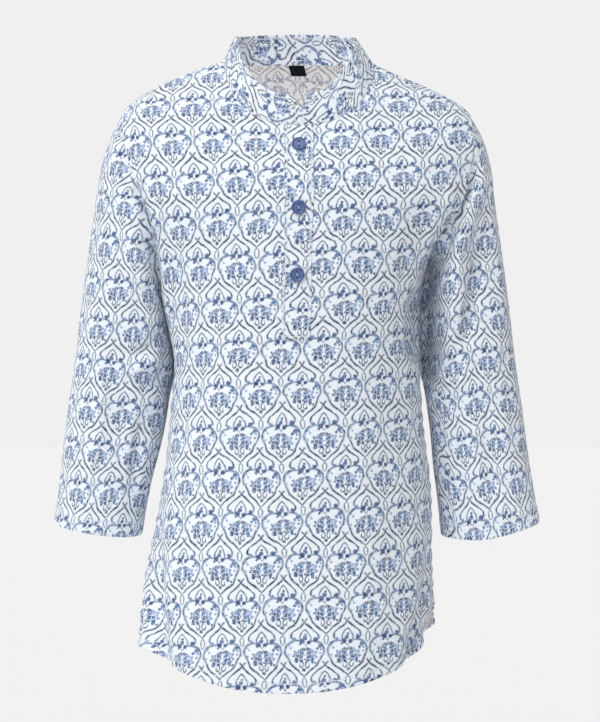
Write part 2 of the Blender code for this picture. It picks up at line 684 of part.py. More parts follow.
def clear_scene():
    for old in list(bpy.data.objects):
        bpy.data.objects.remove(old, do_unlink=True)


def main():
    clear_scene()
    cotton = material("printed cotton", (0.80, 0.84, 0.90), 0.85)
    label_cloth = material("woven label", (0.02, 0.02, 0.03), 0.7)
    plastic = material("blue resin button", (0.09, 0.13, 0.33), 0.35)
    front, back = body_and_collar(cotton)
    for side in ("left", "right"):
        sleeve(side, armhole_line(side, front, back), cotton)
    line, normal = placket(front, panel_shares("front"), cotton)
    buttons(line, normal, plastic)
    neck_label(back, panel_shares("back"), label_cloth)


main()
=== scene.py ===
"""A toddler's long-sleeve cotton kurta, printed all over, hollow and filled out as if worn.

Metres, +Z up, the front facing -Y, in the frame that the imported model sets. The garment's own
sizes below are in millimetres and the meshes are made in metres. The sections follow the garment
as it is sewn together: body, collar, sleeves, placket, buttons, label, then the studio.
"""

import bpy
import numpy as np
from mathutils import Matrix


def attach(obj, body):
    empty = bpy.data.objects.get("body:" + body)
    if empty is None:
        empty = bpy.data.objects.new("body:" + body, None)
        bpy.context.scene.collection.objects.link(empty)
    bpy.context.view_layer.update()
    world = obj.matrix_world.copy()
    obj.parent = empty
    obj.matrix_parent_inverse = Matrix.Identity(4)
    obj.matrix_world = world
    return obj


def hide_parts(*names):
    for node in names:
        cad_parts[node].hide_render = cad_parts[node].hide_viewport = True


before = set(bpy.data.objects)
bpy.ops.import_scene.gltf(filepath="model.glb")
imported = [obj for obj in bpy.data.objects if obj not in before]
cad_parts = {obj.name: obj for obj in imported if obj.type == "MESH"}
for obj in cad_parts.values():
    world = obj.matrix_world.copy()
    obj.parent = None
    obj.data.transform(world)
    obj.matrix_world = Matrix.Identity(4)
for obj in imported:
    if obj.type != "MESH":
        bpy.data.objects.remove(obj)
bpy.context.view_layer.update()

# ==== The front and back panels ================================================================
# Two pieces of light printed cotton, plain woven, each cut in one from the neckline and the
# shoulder down to a curved shirt-tail hem. They are seamed at the shoulders and down the sides to
# the vents, and the hem is turned up and topstitched.

MM = 0.001
CLOTH_WALL = 0.7
HEM_WALL = 1.25
HEM_TURN = 9.0
HEM_STEP = 0.8
HEM_FOLD = 0.55
SEAM_GAP = 0.06
NECK_GAP = 0.1

SHOULDER_Z = -34.0
UNDERARM_Z = -178.0
ARMHOLE_DEPTH = 35.0
ARMHOLE_ROUNDNESS = 1.7
ROUNDNESS = 2.2
VENT_TOP_Z = -385.0
NECK_X = 2.0
NECK_HALF = 59.0
NECK_Y = -4.0
NECK_SIDE_Z = 7.0

# Where each panel ends, seen from the front: the armhole down to the underarm, then the side.
SIDE = (
    ("z", "left", "right"),
    (-34.0, 137.5, 138.5),
    (-57.0, 137.0, 140.5),
    (-80.0, 130.0, 137.0),
    (-105.5, 119.8, 130.5),
    (-122.0, 114.5, 119.0),
    (-140.0, 110.5, 107.5),
    (-160.0, 108.0, 100.5),
    (-178.0, 107.0, 97.5),
    (-192.0, 103.5, 97.0),
    (-214.0, 99.5, 97.2),
    (-236.0, 97.2, 98.0),
    (-256.0, 98.8, 99.2),
    (-280.0, 101.0, 100.8),
    (-306.0, 103.4, 104.0),
    (-330.0, 106.8, 106.8),
    (-360.0, 111.4, 107.8),
    (-385.0, 114.8, 107.8),
    (-420.0, 116.8, 107.8),
    (-457.0, 119.0, 107.0),
)

# How far the front and the back stand from the shoulder line along the middle of the body.
DEPTH = (
    ("z", "front", "back"),
    (-105.5, 77.5, 73.5),
    (-140.0, 79.0, 75.0),
    (-178.0, 80.0, 75.0),
    (-250.0, 79.0, 71.0),
    (-330.0, 80.0, 70.0),
    (-400.0, 82.0, 73.0),
    (-490.0, 84.0, 77.0),
)

# Half the body's width from its middle line to where its level lines turn round.
GIRTH = (
    ("z", "left", "right"),
    (-105.5, 133.0, 138.5),
    (-122.0, 125.5, 129.5),
    (-140.0, 118.0, 120.5),
    (-160.0, 111.5, 112.0),
    (-178.0, 107.5, 106.0),
    (-192.0, 104.0, 102.5),
    (-214.0, 99.5, 100.0),
    (-236.0, 96.5, 99.3),
    (-256.0, 97.3, 100.7),
    (-280.0, 99.7, 102.9),
    (-306.0, 102.8, 106.7),
    (-330.0, 105.7, 110.1),
    (-360.0, 108.7, 111.8),
    (-385.0, 110.0, 112.4),
    (-420.0, 109.0, 113.2),
    (-457.0, 107.5, 113.3),
)

# neck_roundness is the neckline's exponent seen from above, and roundness the crown's seen from
# the side. ridge_lift and ridge_sag shape the shoulder line as it would run on across the neck.
PANELS = {
    "front": dict(facing=-1, neck_depth=46.0, neck_roundness=3.0, roundness=1.35,
                  ridge_lift=12.0, ridge_sag=-20.4, collar_y=-48.0, collar_z=-22.5,
                  hem_side=-457.0, hem_drop=32.0, vent_left=20.0, vent_right=28.0, vent_out=0.0, vent_in=7.0),
    "back": dict(facing=1, neck_depth=42.0, neck_roundness=2.2, roundness=2.2,
                 ridge_lift=19.0, ridge_sag=0.0, collar_y=33.0, collar_z=32.0,
                 hem_side=-441.0, hem_drop=33.0, vent_left=4.0, vent_right=6.0, vent_out=2.5, vent_in=0.0),
}

# Folds that hang down the body: u runs from -1 at the left edge to 1 at the right.
HANGING_FOLDS = (
    ("panel", "u_top", "u_bottom", "z_top", "z_bottom", "width", "height"),
    ("front", -0.97, -0.98, -345.0, -440.0, 0.10, 6.5),
    ("front", -0.80, -0.81, -330.0, -430.0, 0.09, -8.0),
    ("front", -0.60, -0.62, -320.0, -430.0, 0.11, 3.5),
    ("front", 0.84, 0.82, -340.0, -450.0, 0.08, -5.0),
    ("front", 0.64, 0.64, -330.0, -440.0, 0.10, 2.5),
    ("front", 0.36, 0.40, -330.0, -450.0, 0.12, 2.0),
    ("front", -0.30, -0.34, -300.0, -450.0, 0.10, 1.2),
    ("front", 0.05, 0.02, -330.0, -450.0, 0.09, -1.2),
    ("back", -0.55, -0.60, -260.0, -430.0, 0.12, 4.0),
    ("back", 0.10, 0.05, -260.0, -430.0, 0.12, -4.0),
    ("back", 0.60, 0.66, -260.0, -430.0, 0.12, 4.0),
    ("back", -0.22, -0.26, -240.0, -430.0, 0.09, -2.2),
    ("back", 0.36, 0.33, -280.0, -430.0, 0.09, 1.8),
)

NECK_COLUMNS = 30
SHOULDER_COLUMNS = 52
TOP_ROWS = 48
ARMHOLE_ROWS = 38


def read(table, column, at):
    """Smooth curve through one column of a table: cubic Hermite between its rows."""
    names, rows = table[0], np.array(table[1:], float)
    sense = np.sign(rows[1, 0] - rows[0, 0])
    knot, value = sense * rows[:, 0], rows[:, names.index(column)]
    slope = np.gradient(value, knot)
    x = np.clip(sense * np.asarray(at, float), knot[0], knot[-1])
    i = np.clip(np.searchsorted(knot, x, side="right") - 1, 0, len(knot) - 2)
    step = knot[i + 1] - knot[i]
    t = (x - knot[i]) / step
    start = (1 + 2 * t) * (1 - t) ** 2 * value[i] + t * (1 - t) ** 2 * step * slope[i]
    end = t * t * (3 - 2 * t) * value[i + 1] + t * t * (t - 1) * step * slope[i + 1]
    return start + end


def ease(low, high, at):
    """0 up to low, 1 from high on, and 3t^2 - 2t^3 between them."""
    t = np.clip((np.asarray(at, float) - low) / (high - low), 0, 1)
    return t * t * (3 - 2 * t)


def rounded(cosine, roundness=ROUNDNESS):
    """A cosine or sine raised to 2 / roundness, which turns an ellipse to a superellipse."""
    return np.clip(cosine, 0, 1) ** (2 / roundness)


def unit(vectors):
    """Each vector divided by its length."""
    return vectors / np.linalg.norm(vectors, axis=-1, keepdims=True)


def run(points):
    """How far each point lies from the first one of its line: the running sum of the steps."""
    steps = np.linalg.norm(np.diff(points, axis=0), axis=-1)
    return np.concatenate([np.zeros_like(steps[:1]), np.cumsum(steps, axis=0)])


def either(table, left, at):
    """A table's left column where left holds, and its right one elsewhere."""
    return np.where(left, read(table, "left", at), read(table, "right", at))


CHEST_Z = (SHOULDER_Z + UNDERARM_Z) / 2
ARMHOLE_HALF = (SHOULDER_Z - UNDERARM_Z) / 2
DRIFT = 9
DRIFT_FALL = 383.5


def centre_x(z):
    """The body's middle line, which drifts evenly to the left from the chest to the hem."""
    return NECK_X - DRIFT * np.clip((CHEST_Z - z) / DRIFT_FALL, 0, 1)


def edge_angle(panel, left, z):
    """Angle round the level line at which the panel ends: arccos of its edge's reach forward."""
    shape = PANELS[panel]
    reach = read(DEPTH, panel, z)
    down = np.clip(np.abs(z - CHEST_Z) / ARMHOLE_HALF, 0, 1)
    armhole = ARMHOLE_DEPTH * (1 - down ** ARMHOLE_ROUNDNESS) ** (1 / ARMHOLE_ROUNDNESS)
    swing = np.where(left, shape["vent_left"], shape["vent_right"])
    vent = swing * np.clip((VENT_TOP_Z - z) / 72, 0, 1.1) ** 1.5
    forward = np.where(z > UNDERARM_Z, armhole, vent)
    return np.arccos((forward / reach) ** (ROUNDNESS / 2))


def level_point(panel, u, z):
    """A superellipse of girth by depth at height z, u of the way from its middle to its edge."""
    left = u < 0
    edge = edge_angle(panel, left, z)
    width = either(GIRTH, left, z)
    side = either(SIDE, left, z) + np.where(left, 1, -1) * centre_x(z)
    side = side + PANELS[panel]["vent_out"] * ease(-VENT_TOP_Z, 60 - VENT_TOP_Z, -z)
    side = side - np.where(left, 0, PANELS[panel]["vent_in"]) * ease(36 - VENT_TOP_Z, 62 - VENT_TOP_Z, -z)
    angle = np.abs(u) * edge
    drawn = (side - width * rounded(np.sin(edge))) * ease(0.55, 1, np.abs(u))
    x = centre_x(z) + np.sign(u) * (width * rounded(np.sin(angle)) + drawn)
    y = PANELS[panel]["facing"] * read(DEPTH, panel, z) * rounded(np.cos(angle))
    return np.stack([x, y, z * np.ones_like(x)], -1)


def chest_fraction(panel):
    """u against the share of the chest level's cloth on each side, and that side's length."""
    tables = {}
    for left in (True, False):
        u = np.linspace(0, 1, 400) * (-1 if left else 1)
        line = level_point(panel, u, np.full_like(u, CHEST_Z))
        length = run(line)
        tables[left] = (np.abs(u), length / length[-1], length[-1])
    return tables


def neck_share(left):
    """Share of a panel's half that runs up to the neckline: the neck's half over the shoulder's."""
    side = read(SIDE, "left", SHOULDER_Z) + NECK_X if left else read(SIDE, "right", SHOULDER_Z) - NECK_X
    return NECK_HALF / side


def neck_fall(along, roundness):
    """A superellipse: 0 at the side of the neck and 1 in the middle, seen from above."""
    return np.clip(1 - np.abs(along) ** roundness, 0, 1) ** (1 / roundness)


def top_point(panel, share, u, down):
    """A quarter superellipse in each column from the shoulder line over to the chest, which
    starts at the angle where the neckline cuts it."""
    shape = PANELS[panel]
    end = level_point(panel, u, np.full_like(u, CHEST_Z))
    neck = np.where(share < 0, neck_share(True), neck_share(False))
    along = np.abs(share) / neck
    past = np.clip((np.abs(share) - neck) / (1 - neck), 0, 1)
    roundness = shape["roundness"] + (ARMHOLE_ROUNDNESS - shape["roundness"]) * ease(0, 1, past)
    ridge_y = NECK_Y * (1 - past)
    inside = 1 - np.minimum(along, 1) ** 2
    ridge_z = NECK_SIDE_Z + shape["ridge_lift"] * inside + shape["ridge_sag"] * inside ** 2
    ridge_z = ridge_z - (NECK_SIDE_Z - SHOULDER_Z - 9) * past - 9 * past ** 6
    cut = shape["neck_depth"] * neck_fall(np.minimum(along, 1), shape["neck_roundness"])
    cut = cut / np.abs(end[..., 1] - ridge_y)
    first = np.arcsin(cut ** (roundness / 2))
    angle = first + (np.pi / 2 - first) * down
    out = rounded(np.sin(angle), roundness)
    fall = 1 - rounded(np.cos(angle), roundness)
    edge_z = CHEST_Z + ARMHOLE_HALF * (1 - fall)
    column, shoulder, chest = (either(SIDE, share < 0, z) for z in (edge_z, SHOULDER_Z, CHEST_Z))
    inward = (column - shoulder) / (chest - shoulder)
    start = np.stack([NECK_X + np.sign(share) * along * NECK_HALF, ridge_y, ridge_z], -1)
    return start + (end - start) * np.stack([inward, out, fall], -1)


def hem_z(panel, u):
    """The hem's height: lowest in the middle, up to the vents by a power of a cosine."""
    shape = PANELS[panel]
    return shape["hem_side"] - shape["hem_drop"] * np.cos(np.abs(u) * np.pi / 2) ** 1.1


def hanging_fold(panel, u, z):
    """The sum of the table's folds: each a Gaussian across u that eases in down the cloth."""
    total = np.zeros_like(z)
    for owner, u_top, u_bottom, z_top, z_bottom, width, height in HANGING_FOLDS[1:]:
        if owner != panel:
            continue
        down = ease(-z_top, -z_bottom, -z)
        line = u_top + (u_bottom - u_top) * down
        total = total + height * down * np.exp(-(((u - line) / width) ** 2))
    return total


def normals_of(points, outward, ring=False):
    """Unit normals of a grid: the cross product of its two directions, turned to face outward."""
    if ring:
        across = np.roll(points, -1, 1) - np.roll(points, 1, 1)
    else:
        across = np.gradient(points, axis=1)
    return unit(np.cross(across, np.gradient(points, axis=0)) * outward)


def creases(points, table):
    """The height at each point of creases drawn as lines in X and Z: each a Gaussian of the
    distance to its line, eased in and out along it. A negative height is a valley."""
    total = np.zeros(points.shape[:-1])
    place = points[..., None, :]
    for height, width, line in table:
        line = np.array(line)
        start, step = line[:-1], np.diff(line, axis=0)
        length = np.linalg.norm(step, axis=1)
        offset = np.stack([place[..., 0] - start[:, 0], place[..., 2] - start[:, 1]], -1)
        along = np.clip(np.sum(offset * step, -1) / length ** 2, 0, 1)
        apart = np.linalg.norm(offset - along[..., None] * step, axis=-1)
        near = apart.argmin(-1)[..., None]
        passed = (np.concatenate([[0], np.cumsum(length)[:-1]]) + along * length) / length.sum()
        passed = np.take_along_axis(passed, near, -1)[..., 0]
        fade = ease(0, 0.3, passed) * (1 - ease(0.7, 1, passed))
        total += height * fade * np.exp(-((np.take_along_axis(apart, near, -1)[..., 0] / width) ** 2))
    return total


def flat_lengths(points, across_only):
    """How far each point of a grid is from the middle column, and each row from the first, as
    sums of the steps between neighbours. Steps along a row count without what across_only holds,
    the direction in which the cloth's length runs."""
    steps = np.diff(points, axis=1)
    steps = steps - across_only * np.sum(steps * across_only, -1, keepdims=True)
    size = np.linalg.norm(steps, axis=-1)
    width = np.concatenate([np.zeros_like(size[:, :1]), np.cumsum(size, axis=1)], axis=1)
    return width - width[:, width.shape[1] // 2, None], run(points)


def share_to_u(panel, share):
    """u at a share of the chest level's cloth, read from the table of lengths."""
    tables = chest_fraction(panel)
    size = np.abs(share)
    left = np.interp(size, tables[True][1], tables[True][0])
    right = np.interp(size, tables[False][1], tables[False][0])
    return np.sign(share) * np.where(share < 0, left, right)


def panel_shares(panel):
    """Columns of a panel, from its left edge to its right, with one at each neck point."""
    turn = np.linspace(0, np.pi / 2, NECK_COLUMNS + 1)
    halves = []
    for left in (True, False):
        neck = neck_share(left)
        inner = neck * rounded(np.sin(turn), PANELS[panel]["neck_roundness"])
        outer = np.linspace(neck, 1, SHOULDER_COLUMNS + 1)[1:]
        halves.append(np.concatenate([inner, outer]))
    return np.concatenate([-halves[0][:0:-1], halves[1]])


# Creases of the body cloth, as height, width and line: the drag down from the armholes, the
# shallow ones below the neckline, and the waves of the lower body.
BODY_CREASES = {
    "front": (
        (2.8, 4.6, ((-122, -80), (-114, -106), (-107, -130), (-104, -160), (-101, -200), (-97, -240))),
        (-1.6, 7.0, ((-110, -100), (-101, -125), (-95, -155), (-92, -195), (-88, -240))),
        (3.0, 4.8, ((127, -84), (119, -106), (107, -125), (100, -142), (95, -156))),
        (-9.0, 6.0, ((97, -168), (95, -190), (94, -215), (94, -238))),
        (-1.8, 8.0, ((112, -92), (98, -118), (86, -150), (82, -200), (80, -240))),
        (-0.9, 6.0, ((-44, -38), (-62, -66), (-88, -92))),
        (0.8, 7.0, ((-52, -34), (-74, -58), (-100, -80))),
        (-0.9, 6.0, ((52, -36), (68, -62), (92, -88))),
        (0.8, 7.0, ((60, -30), (80, -54), (106, -76))),
        (0.7, 9.0, ((-60, -230), (-62, -300), (-68, -380), (-72, -460))),
        (-0.7, 10.0, ((-38, -210), (-40, -300), (-44, -400))),
        (0.8, 9.0, ((48, -240), (52, -320), (56, -430))),
        (-0.8, 9.0, ((70, -230), (74, -310), (76, -420))),
        (0.6, 6.0, ((-90, -250), (-72, -262), (-50, -268))),
        (-0.6, 7.0, ((88, -236), (66, -250), (40, -256))),
    ),
    "back": (
        (1.2, 4.0, ((-121, -80), (-113, -106), (-106, -130), (-103, -160), (-100, -200), (-96, -240))),
        (-3.0, 7.0, ((-110, -100), (-101, -125), (-95, -155), (-92, -195), (-88, -240))),
        (1.2, 4.5, ((124, -84), (114, -108), (103, -126), (95, -150), (92, -180), (90, -220))),
        (-3.4, 8.0, ((112, -92), (98, -118), (86, -150), (82, -200), (80, -240))),
        (-2.4, 9.0, ((-30, -50), (-34, -110), (-30, -170))),
        (2.2, 8.0, ((24, -46), (30, -120), (26, -180))),
        (2.4, 10.0, ((-58, -200), (-60, -300), (-66, -430))),
        (-2.4, 9.0, ((44, -190), (50, -280), (58, -420))),
    ),
}


PUCKER = 0.5


def panel_surface(panel, share, top_down, levels, hem_down):
    """A panel's grid of points and normals, and each point's place on the flat cloth."""
    u = share_to_u(panel, share)
    rows = [top_point(panel, share, u, np.full_like(u, down)) for down in top_down]
    rows += [level_point(panel, u, np.full_like(u, z)) for z in levels]
    last = levels[-1]
    rows += [level_point(panel, u, last + (hem_z(panel, u) - last) * down) for down in hem_down]
    points = np.stack(rows)
    facing = PANELS[panel]["facing"]
    warp = np.broadcast_to([0.0, 0, 1], points.shape).copy()
    crown = len(top_down)
    warp[:crown] = unit(np.gradient(points[:crown], axis=0))
    width, length = flat_lengths(points, warp[:, :-1])
    flat = np.stack([-facing * width, length - length[crown - 1] - CHEST_Z], -1)
    flat[crown:, :, 1] = -points[crown:, :, 2]
    normal = normals_of(points, facing)
    edge = 1 - np.abs(u[None, :]) ** 16
    crease = creases(points, BODY_CREASES[panel]) * edge
    lift = hanging_fold(panel, u[None, :], points[..., 2]) + crease

    # The side seams pucker a little below the underarm, unevenly and no further in than a seam's
    # pull reaches.
    below = ease(190, 260, -points[..., 2])
    beside = np.exp(-(((1 - np.abs(u)) / 0.16) ** 2))
    wave = np.sin(points[..., 2] * 0.46 + 1.3 * np.sin(points[..., 2] * 0.11) + 2.0 * np.sign(u))
    lift = lift + PUCKER * below * beside * wave
    points = points + normal * lift[..., None]
    points[..., 1] += facing * SEAM_GAP / 2
    normal = normals_of(points, facing)
    side_rows = (points[:, 0, 2] < UNDERARM_Z + 1) & (points[:, 0, 2] > VENT_TOP_Z - 1)
    normal[side_rows, 0, 1] = normal[side_rows, -1, 1] = 0
    shoulder = np.abs(share) > neck_share(True) * 0.999
    normal[0, shoulder, 1] = 0
    return points, unit(normal), flat


def colour(code):
    """An sRGB hex colour as linear light: ((c + 0.055) / 1.055) to the power 2.4, channel by
    channel, or c / 12.92 below 0.04045."""
    c = np.array([int(code[i:i + 2], 16) for i in (1, 3, 5)]) / 255
    return (*np.where(c > 0.04045, ((c + 0.055) / 1.055) ** 2.4, c / 12.92), 1.0)


def give(tree, socket, value):
    """Links a socket to an earlier node's output, or sets it to a value, or leaves it for None."""
    if isinstance(value, bpy.types.NodeSocket):
        tree.links.new(value, socket)
    elif value is not None:
        socket.default_value = value


def add(tree, kind, *inputs, curve=None, stops=None, **settings):
    """Adds one node and returns its output. A kind may carry the node's operation after a space.
    The inputs in use are given in order, and curve and stops fill a curve's or a ramp's points."""
    kind, _, operation = kind.partition(" ")
    made = tree.nodes.new("ShaderNode" + kind)
    if operation:
        made.operation = operation
    for name, value in settings.items():
        setattr(made, name, value)
    for socket, value in zip([s for s in made.inputs if s.enabled], inputs):
        give(tree, socket, value)
    if curve:
        points = made.mapping.curves[0].points
        for x, y in curve[2:]:
            points.new(x, y)
        for point, place in zip(points, sorted(curve)):
            point.location = place
        made.mapping.update()
    if stops:
        ramp = made.color_ramp.elements
        for place, code in stops[2:]:
            ramp.new(place)
        for element, (place, code) in zip(ramp, sorted(stops)):
            element.position, element.color = place, colour(code)
    return next(socket for socket in made.outputs if socket.enabled)


def material(name):
    """A new material with its node tree and its Principled shader."""
    made = bpy.data.materials.new(name)
    made.use_nodes = True
    return made, made.node_tree, made.node_tree.nodes["Principled BSDF"]


def finish_with(tree, shader, inputs):
    """Gives a shader its inputs by name: each is a value or a node's output."""
    for name, value in inputs.items():
        give(tree, shader.inputs[name], value)


# The print's repeat: upright hearts in a half-drop, and each shape's outline as the distance from
# its own centre, by angle in degrees from straight up. CELL_HALF is half a heart's cell, by height.
HEART_APART = 33.0
ROW_APART = 34.4
PRINT_SHORT = 1.028
CELL_HALF = ((0, 16.5), (4, 16.0), (8.4, 14.8), (10, 14.3), (13, 13.9), (16.1, 13.4), (17.2, 12.8),
             (19.1, 10.4), (22.2, 6.65), (25.2, 4.6), (27.5, 3.7), (30, 2.1), (34.4, 0))
HEART = ((0, 6.4), (18, 10.2), (33, 12.8), (47, 14.4), (60, 15.4), (75, 15.6), (90, 14.6), (102, 13.3),
         (115, 13.0), (129, 13.6), (143, 13.7), (158, 14.0), (171, 15.8), (180, 18.0))
HEART_STROKE = ((0, 0.4), (25, 0.65), (60, 0.85), (95, 0.65), (117, 0.5), (135, 0.6), (150, 0.6),
                (170, 0.5), (180, 0.4))
ONION_Y = 17.0
ONION = ((0, 8.7), (12, 7.0), (33, 6.1), (55, 6.5), (75, 7.7), (86, 9.2), (97, 10.5), (109, 11.1),
         (124, 10.4), (180, 10.4))
ONION_STROKE = ((0, 0.5), (40, 0.62), (80, 0.45), (106, 0.6), (122, 0.3), (128, -0.8), (180, -1))
BUD_Y = 13.0
BUD = ((0, 6.8), (25, 5.2), (41, 4.5), (83, 4.3), (114, 4.7), (146, 5.3), (180, 6))
BUD_STROKE = ((0, 0.35), (60, 0.3), (120, 0.45), (150, 0.2), (160, -0.8), (180, -1))
PENDANT_Y = -23.0
PENDANT = ((0, 4.2), (45, 2.2), (90, 1.6), (135, 1.9), (180, 3.4))
PENDANT_STROKE = ((0, 0.25), (90, 0.3), (180, 0.15))
# The crossed curl on top: its height, half stroke and reach. The two small curls: their place and
# radius on a width drawn out by a factor, and their half stroke.
FINIAL_Y, FINIAL_STROKE, FINIAL_REACH = 25.5, 0.4, 2.7
CURL_X, CURL_Y, CURL_RADIUS, CURL_DRAWN_OUT, CURL_STROKE = 3.6, -8.9, 2.3, 1.6, 0.42
# The leaf sprays' reach from their middle, and the spots: two across and up, then a radius.
LEAF_X, LEAF_Y = 4.9, -0.8
DARK_LEAF = ((0, 4.4), (22, 3.0), (50, 4.8), (78, 3.2), (105, 5.0), (130, 3.8), (158, 7.2), (182, 5.6),
             (208, 6.8), (235, 4.2), (262, 4.5), (290, 4.0), (322, 7.0), (345, 4.8), (360, 4.4))
PALE_LEAF = ((0, 5.0), (26, 4.0), (56, 5.4), (84, 3.6), (112, 5.6), (140, 4.2), (166, 7.4), (192, 5.4),
             (220, 6.4), (246, 4.0), (274, 4.4), (300, 4.2), (326, 7.4), (346, 5.4), (360, 5.0))
FAN = (2.5, 4.4)
FAN_LEAN = 32.0
SPRAYS = ((0.0, -12.9, 1.4), (-12.4, -0.6, 0.7), (12.0, 0.9, 0.9), (8.7, -7.6, 0.9), (0.2, -4.9, 0.7))
BLOSSOMS = ((11.5, 6.6, 1.7), (9.3, 4.6, 1.2), (12.6, 4.0, 0.8), (8.1, 12.4, 1.7), (-8.3, 12.0, 1.2),
            (-10.9, 4.8, 0.9), (-12.2, 6.8, 0.7))
BUD_SPOTS = ((-2.5, 10.3, 1.9), (-0.4, 12.9, 1.7), (2.3, 9.7, 1.5), (0.3, 15.6, 1.0), (-4.2, 8.0, 1.0))
COTTON_WHITE, COTTON_WRONG = "#ebf1f8", "#f3efec"
LINE_PALE, LINE_MID, LINE_DARK = "#8796b0", "#435b82", "#101d38"
LEAF_DARK, LEAF_MID, LEAF_LILAC = "#143b72", "#3a6ea8", "#8d9eca"
SLUB_SHADE, STITCH_SHADE, STITCH_PALE = "#9aa4b4", "#8d97a8", "#e9edf4"
# Yarns stand about 0.3 mm apart in the cloth; they are drawn at 0.8 mm, so that they show.
YARNS_DRAWN = 0.8
STITCH_HALF = 1.3


def printed_cotton(name, ground, faded=0.0, stitched=0.0):
    """Screen-printed cotton voile, plain woven: the eye sees a soft matt white with fine uneven
    yarns, and watery blue and grey line work that never lies quite flat or even. The wrong side
    shows the same print faded into the ground. stitched is how far in from a finished edge a row
    of topstitching runs, in millimetres.

    The print is worked out on the flat cloth in millimetres. A line is drawn where the distance
    from a shape's centre is near its outline's, and a leaf is filled where it is less."""
    made, tree, shader = material(name)
    cloth = add(tree, "UVMap", uv_map="Cloth")
    flat = add(tree, "VectorMath SCALE", cloth, 1000.0)
    wander = add(tree, "TexNoise", flat, 0.16, 2.0).node.outputs["Color"]
    wander = add(tree, "VectorMath SUBTRACT", wander, (0.5, 0.5, 0.5))
    wander = add(tree, "VectorMath SCALE", wander, 1.7)
    pulled = add(tree, "TexNoise", flat, 0.022, 1.0).node.outputs["Color"]
    pulled = add(tree, "VectorMath SUBTRACT", pulled, (0.5, 0.5, 0.5))
    wander = add(tree, "VectorMath MULTIPLY_ADD", pulled, (7.0, 7.0, 0.0), wander)
    drawn = add(tree, "VectorMath MULTIPLY_ADD", flat, (1.0, PRINT_SHORT, 1.0), wander)
    parts = add(tree, "SeparateXYZ", drawn).node.outputs

    # The two sets of hearts, and which of them each place belongs to.
    xa = add(tree, "Math WRAP", parts["X"], HEART_APART / 2, -HEART_APART / 2)
    ya = add(tree, "Math WRAP", parts["Y"], ROW_APART, -ROW_APART)
    moved = add(tree, "Math ADD", parts["X"], HEART_APART / 2)
    xb = add(tree, "Math WRAP", moved, HEART_APART / 2, -HEART_APART / 2)
    moved = add(tree, "Math ADD", parts["Y"], ROW_APART)
    yb = add(tree, "Math WRAP", moved, ROW_APART, -ROW_APART)
    place = add(tree, "MapRange", ya, ROW_APART, -ROW_APART)
    cell = [(0.5 + y / ROW_APART / 2, half / HEART_APART * 2) for y, half in CELL_HALF]
    cell += [(y / ROW_APART / 2, 1 - half / HEART_APART * 2) for y, half in CELL_HALF[:-1]]
    half = add(tree, "FloatCurve", 1.0, place, curve=cell)
    half = add(tree, "Math MULTIPLY", half, HEART_APART / 2)
    size = add(tree, "Math ABSOLUTE", xa)
    inside = add(tree, "Math LESS_THAN", size, half)
    x = add(tree, "Mix", inside, xb, xa, data_type="FLOAT")
    down = add(tree, "Mix", inside, yb, ya, data_type="FLOAT")
    y = add(tree, "Math MULTIPLY", down, -1.0)
    aside = add(tree, "Math ABSOLUTE", x)
    right = add(tree, "Math GREATER_THAN", x, 0.0)

    def polar(centre_x, centre_y, across=aside):
        """Distance from a centre, and the angle from straight up."""
        dx = add(tree, "Math SUBTRACT", across, centre_x)
        dy = add(tree, "Math SUBTRACT", y, centre_y)
        place = add(tree, "CombineXYZ", dx, dy)
        return add(tree, "VectorMath LENGTH", place), \
            add(tree, "Math ARCTAN2", dx, dy)

    def outline(centre_y, shape, stroke, longest=20.0):
        """How far a place is outside a drawn line: |r - R(angle)| - stroke(angle)."""
        r, angle = polar(0.0, centre_y)
        share = add(tree, "Math DIVIDE", angle, np.pi)
        reach = add(tree, "FloatCurve", 1.0, share, curve=[(a / 180, d / longest) for a, d in shape])
        apart = add(tree, "Math MULTIPLY_ADD", reach, -longest, r)
        apart = add(tree, "Math ABSOLUTE", apart)
        thick = add(tree, "FloatCurve", 1.0, share, curve=[(a / 180, (w + 1) / 2) for a, w in stroke])
        thick = add(tree, "Math MULTIPLY_ADD", thick, 2.0, -1.0)
        return add(tree, "Math SUBTRACT", apart, thick)

    def spots(table):
        """How far a place is outside the nearest of some round spots: r less each one's size."""
        nearest = None
        for spot_x, spot_y, spot in table:
            apart = add(tree, "Math SUBTRACT", polar(spot_x, spot_y, x)[0], spot)
            nearest = apart if nearest is None else add(tree, "Math MINIMUM", nearest, apart)
        return nearest

    # The lines: heart, onion arch, bud, pendant, the crossed curl on top and two small curls.
    lines = outline(0.0, HEART, HEART_STROKE)
    for shape in ((ONION_Y, ONION, ONION_STROKE), (BUD_Y, BUD, BUD_STROKE),
                  (PENDANT_Y, PENDANT, PENDANT_STROKE)):
        lines = add(tree, "Math MINIMUM", lines, outline(*shape))
    above = add(tree, "Math SUBTRACT", y, FINIAL_Y)
    above = add(tree, "Math ABSOLUTE", above)
    arm = add(tree, "Math MULTIPLY", aside, 0.80)
    arm = add(tree, "Math MULTIPLY_ADD", above, -0.60, arm)
    arm = add(tree, "Math ABSOLUTE", arm)
    arm = add(tree, "Math SUBTRACT", arm, FINIAL_STROKE)
    far = add(tree, "Math SUBTRACT", above, FINIAL_REACH)
    arm = add(tree, "Math MAXIMUM", arm, far)
    lines = add(tree, "Math MINIMUM", lines, arm)
    narrow = add(tree, "Math MULTIPLY", aside, CURL_DRAWN_OUT)
    r, angle = polar(CURL_X, CURL_Y, narrow)
    curl = add(tree, "Math SUBTRACT", r, CURL_RADIUS)
    curl = add(tree, "Math ABSOLUTE", curl)
    curl = add(tree, "Math SUBTRACT", curl, CURL_STROKE)
    gap = add(tree, "Math SUBTRACT", angle, 0.7)
    gap = add(tree, "Math ABSOLUTE", gap)
    gap = add(tree, "Math SUBTRACT", 0.8, gap)
    curl = add(tree, "Math MAXIMUM", curl, gap)
    lines = add(tree, "Math MINIMUM", lines, curl)

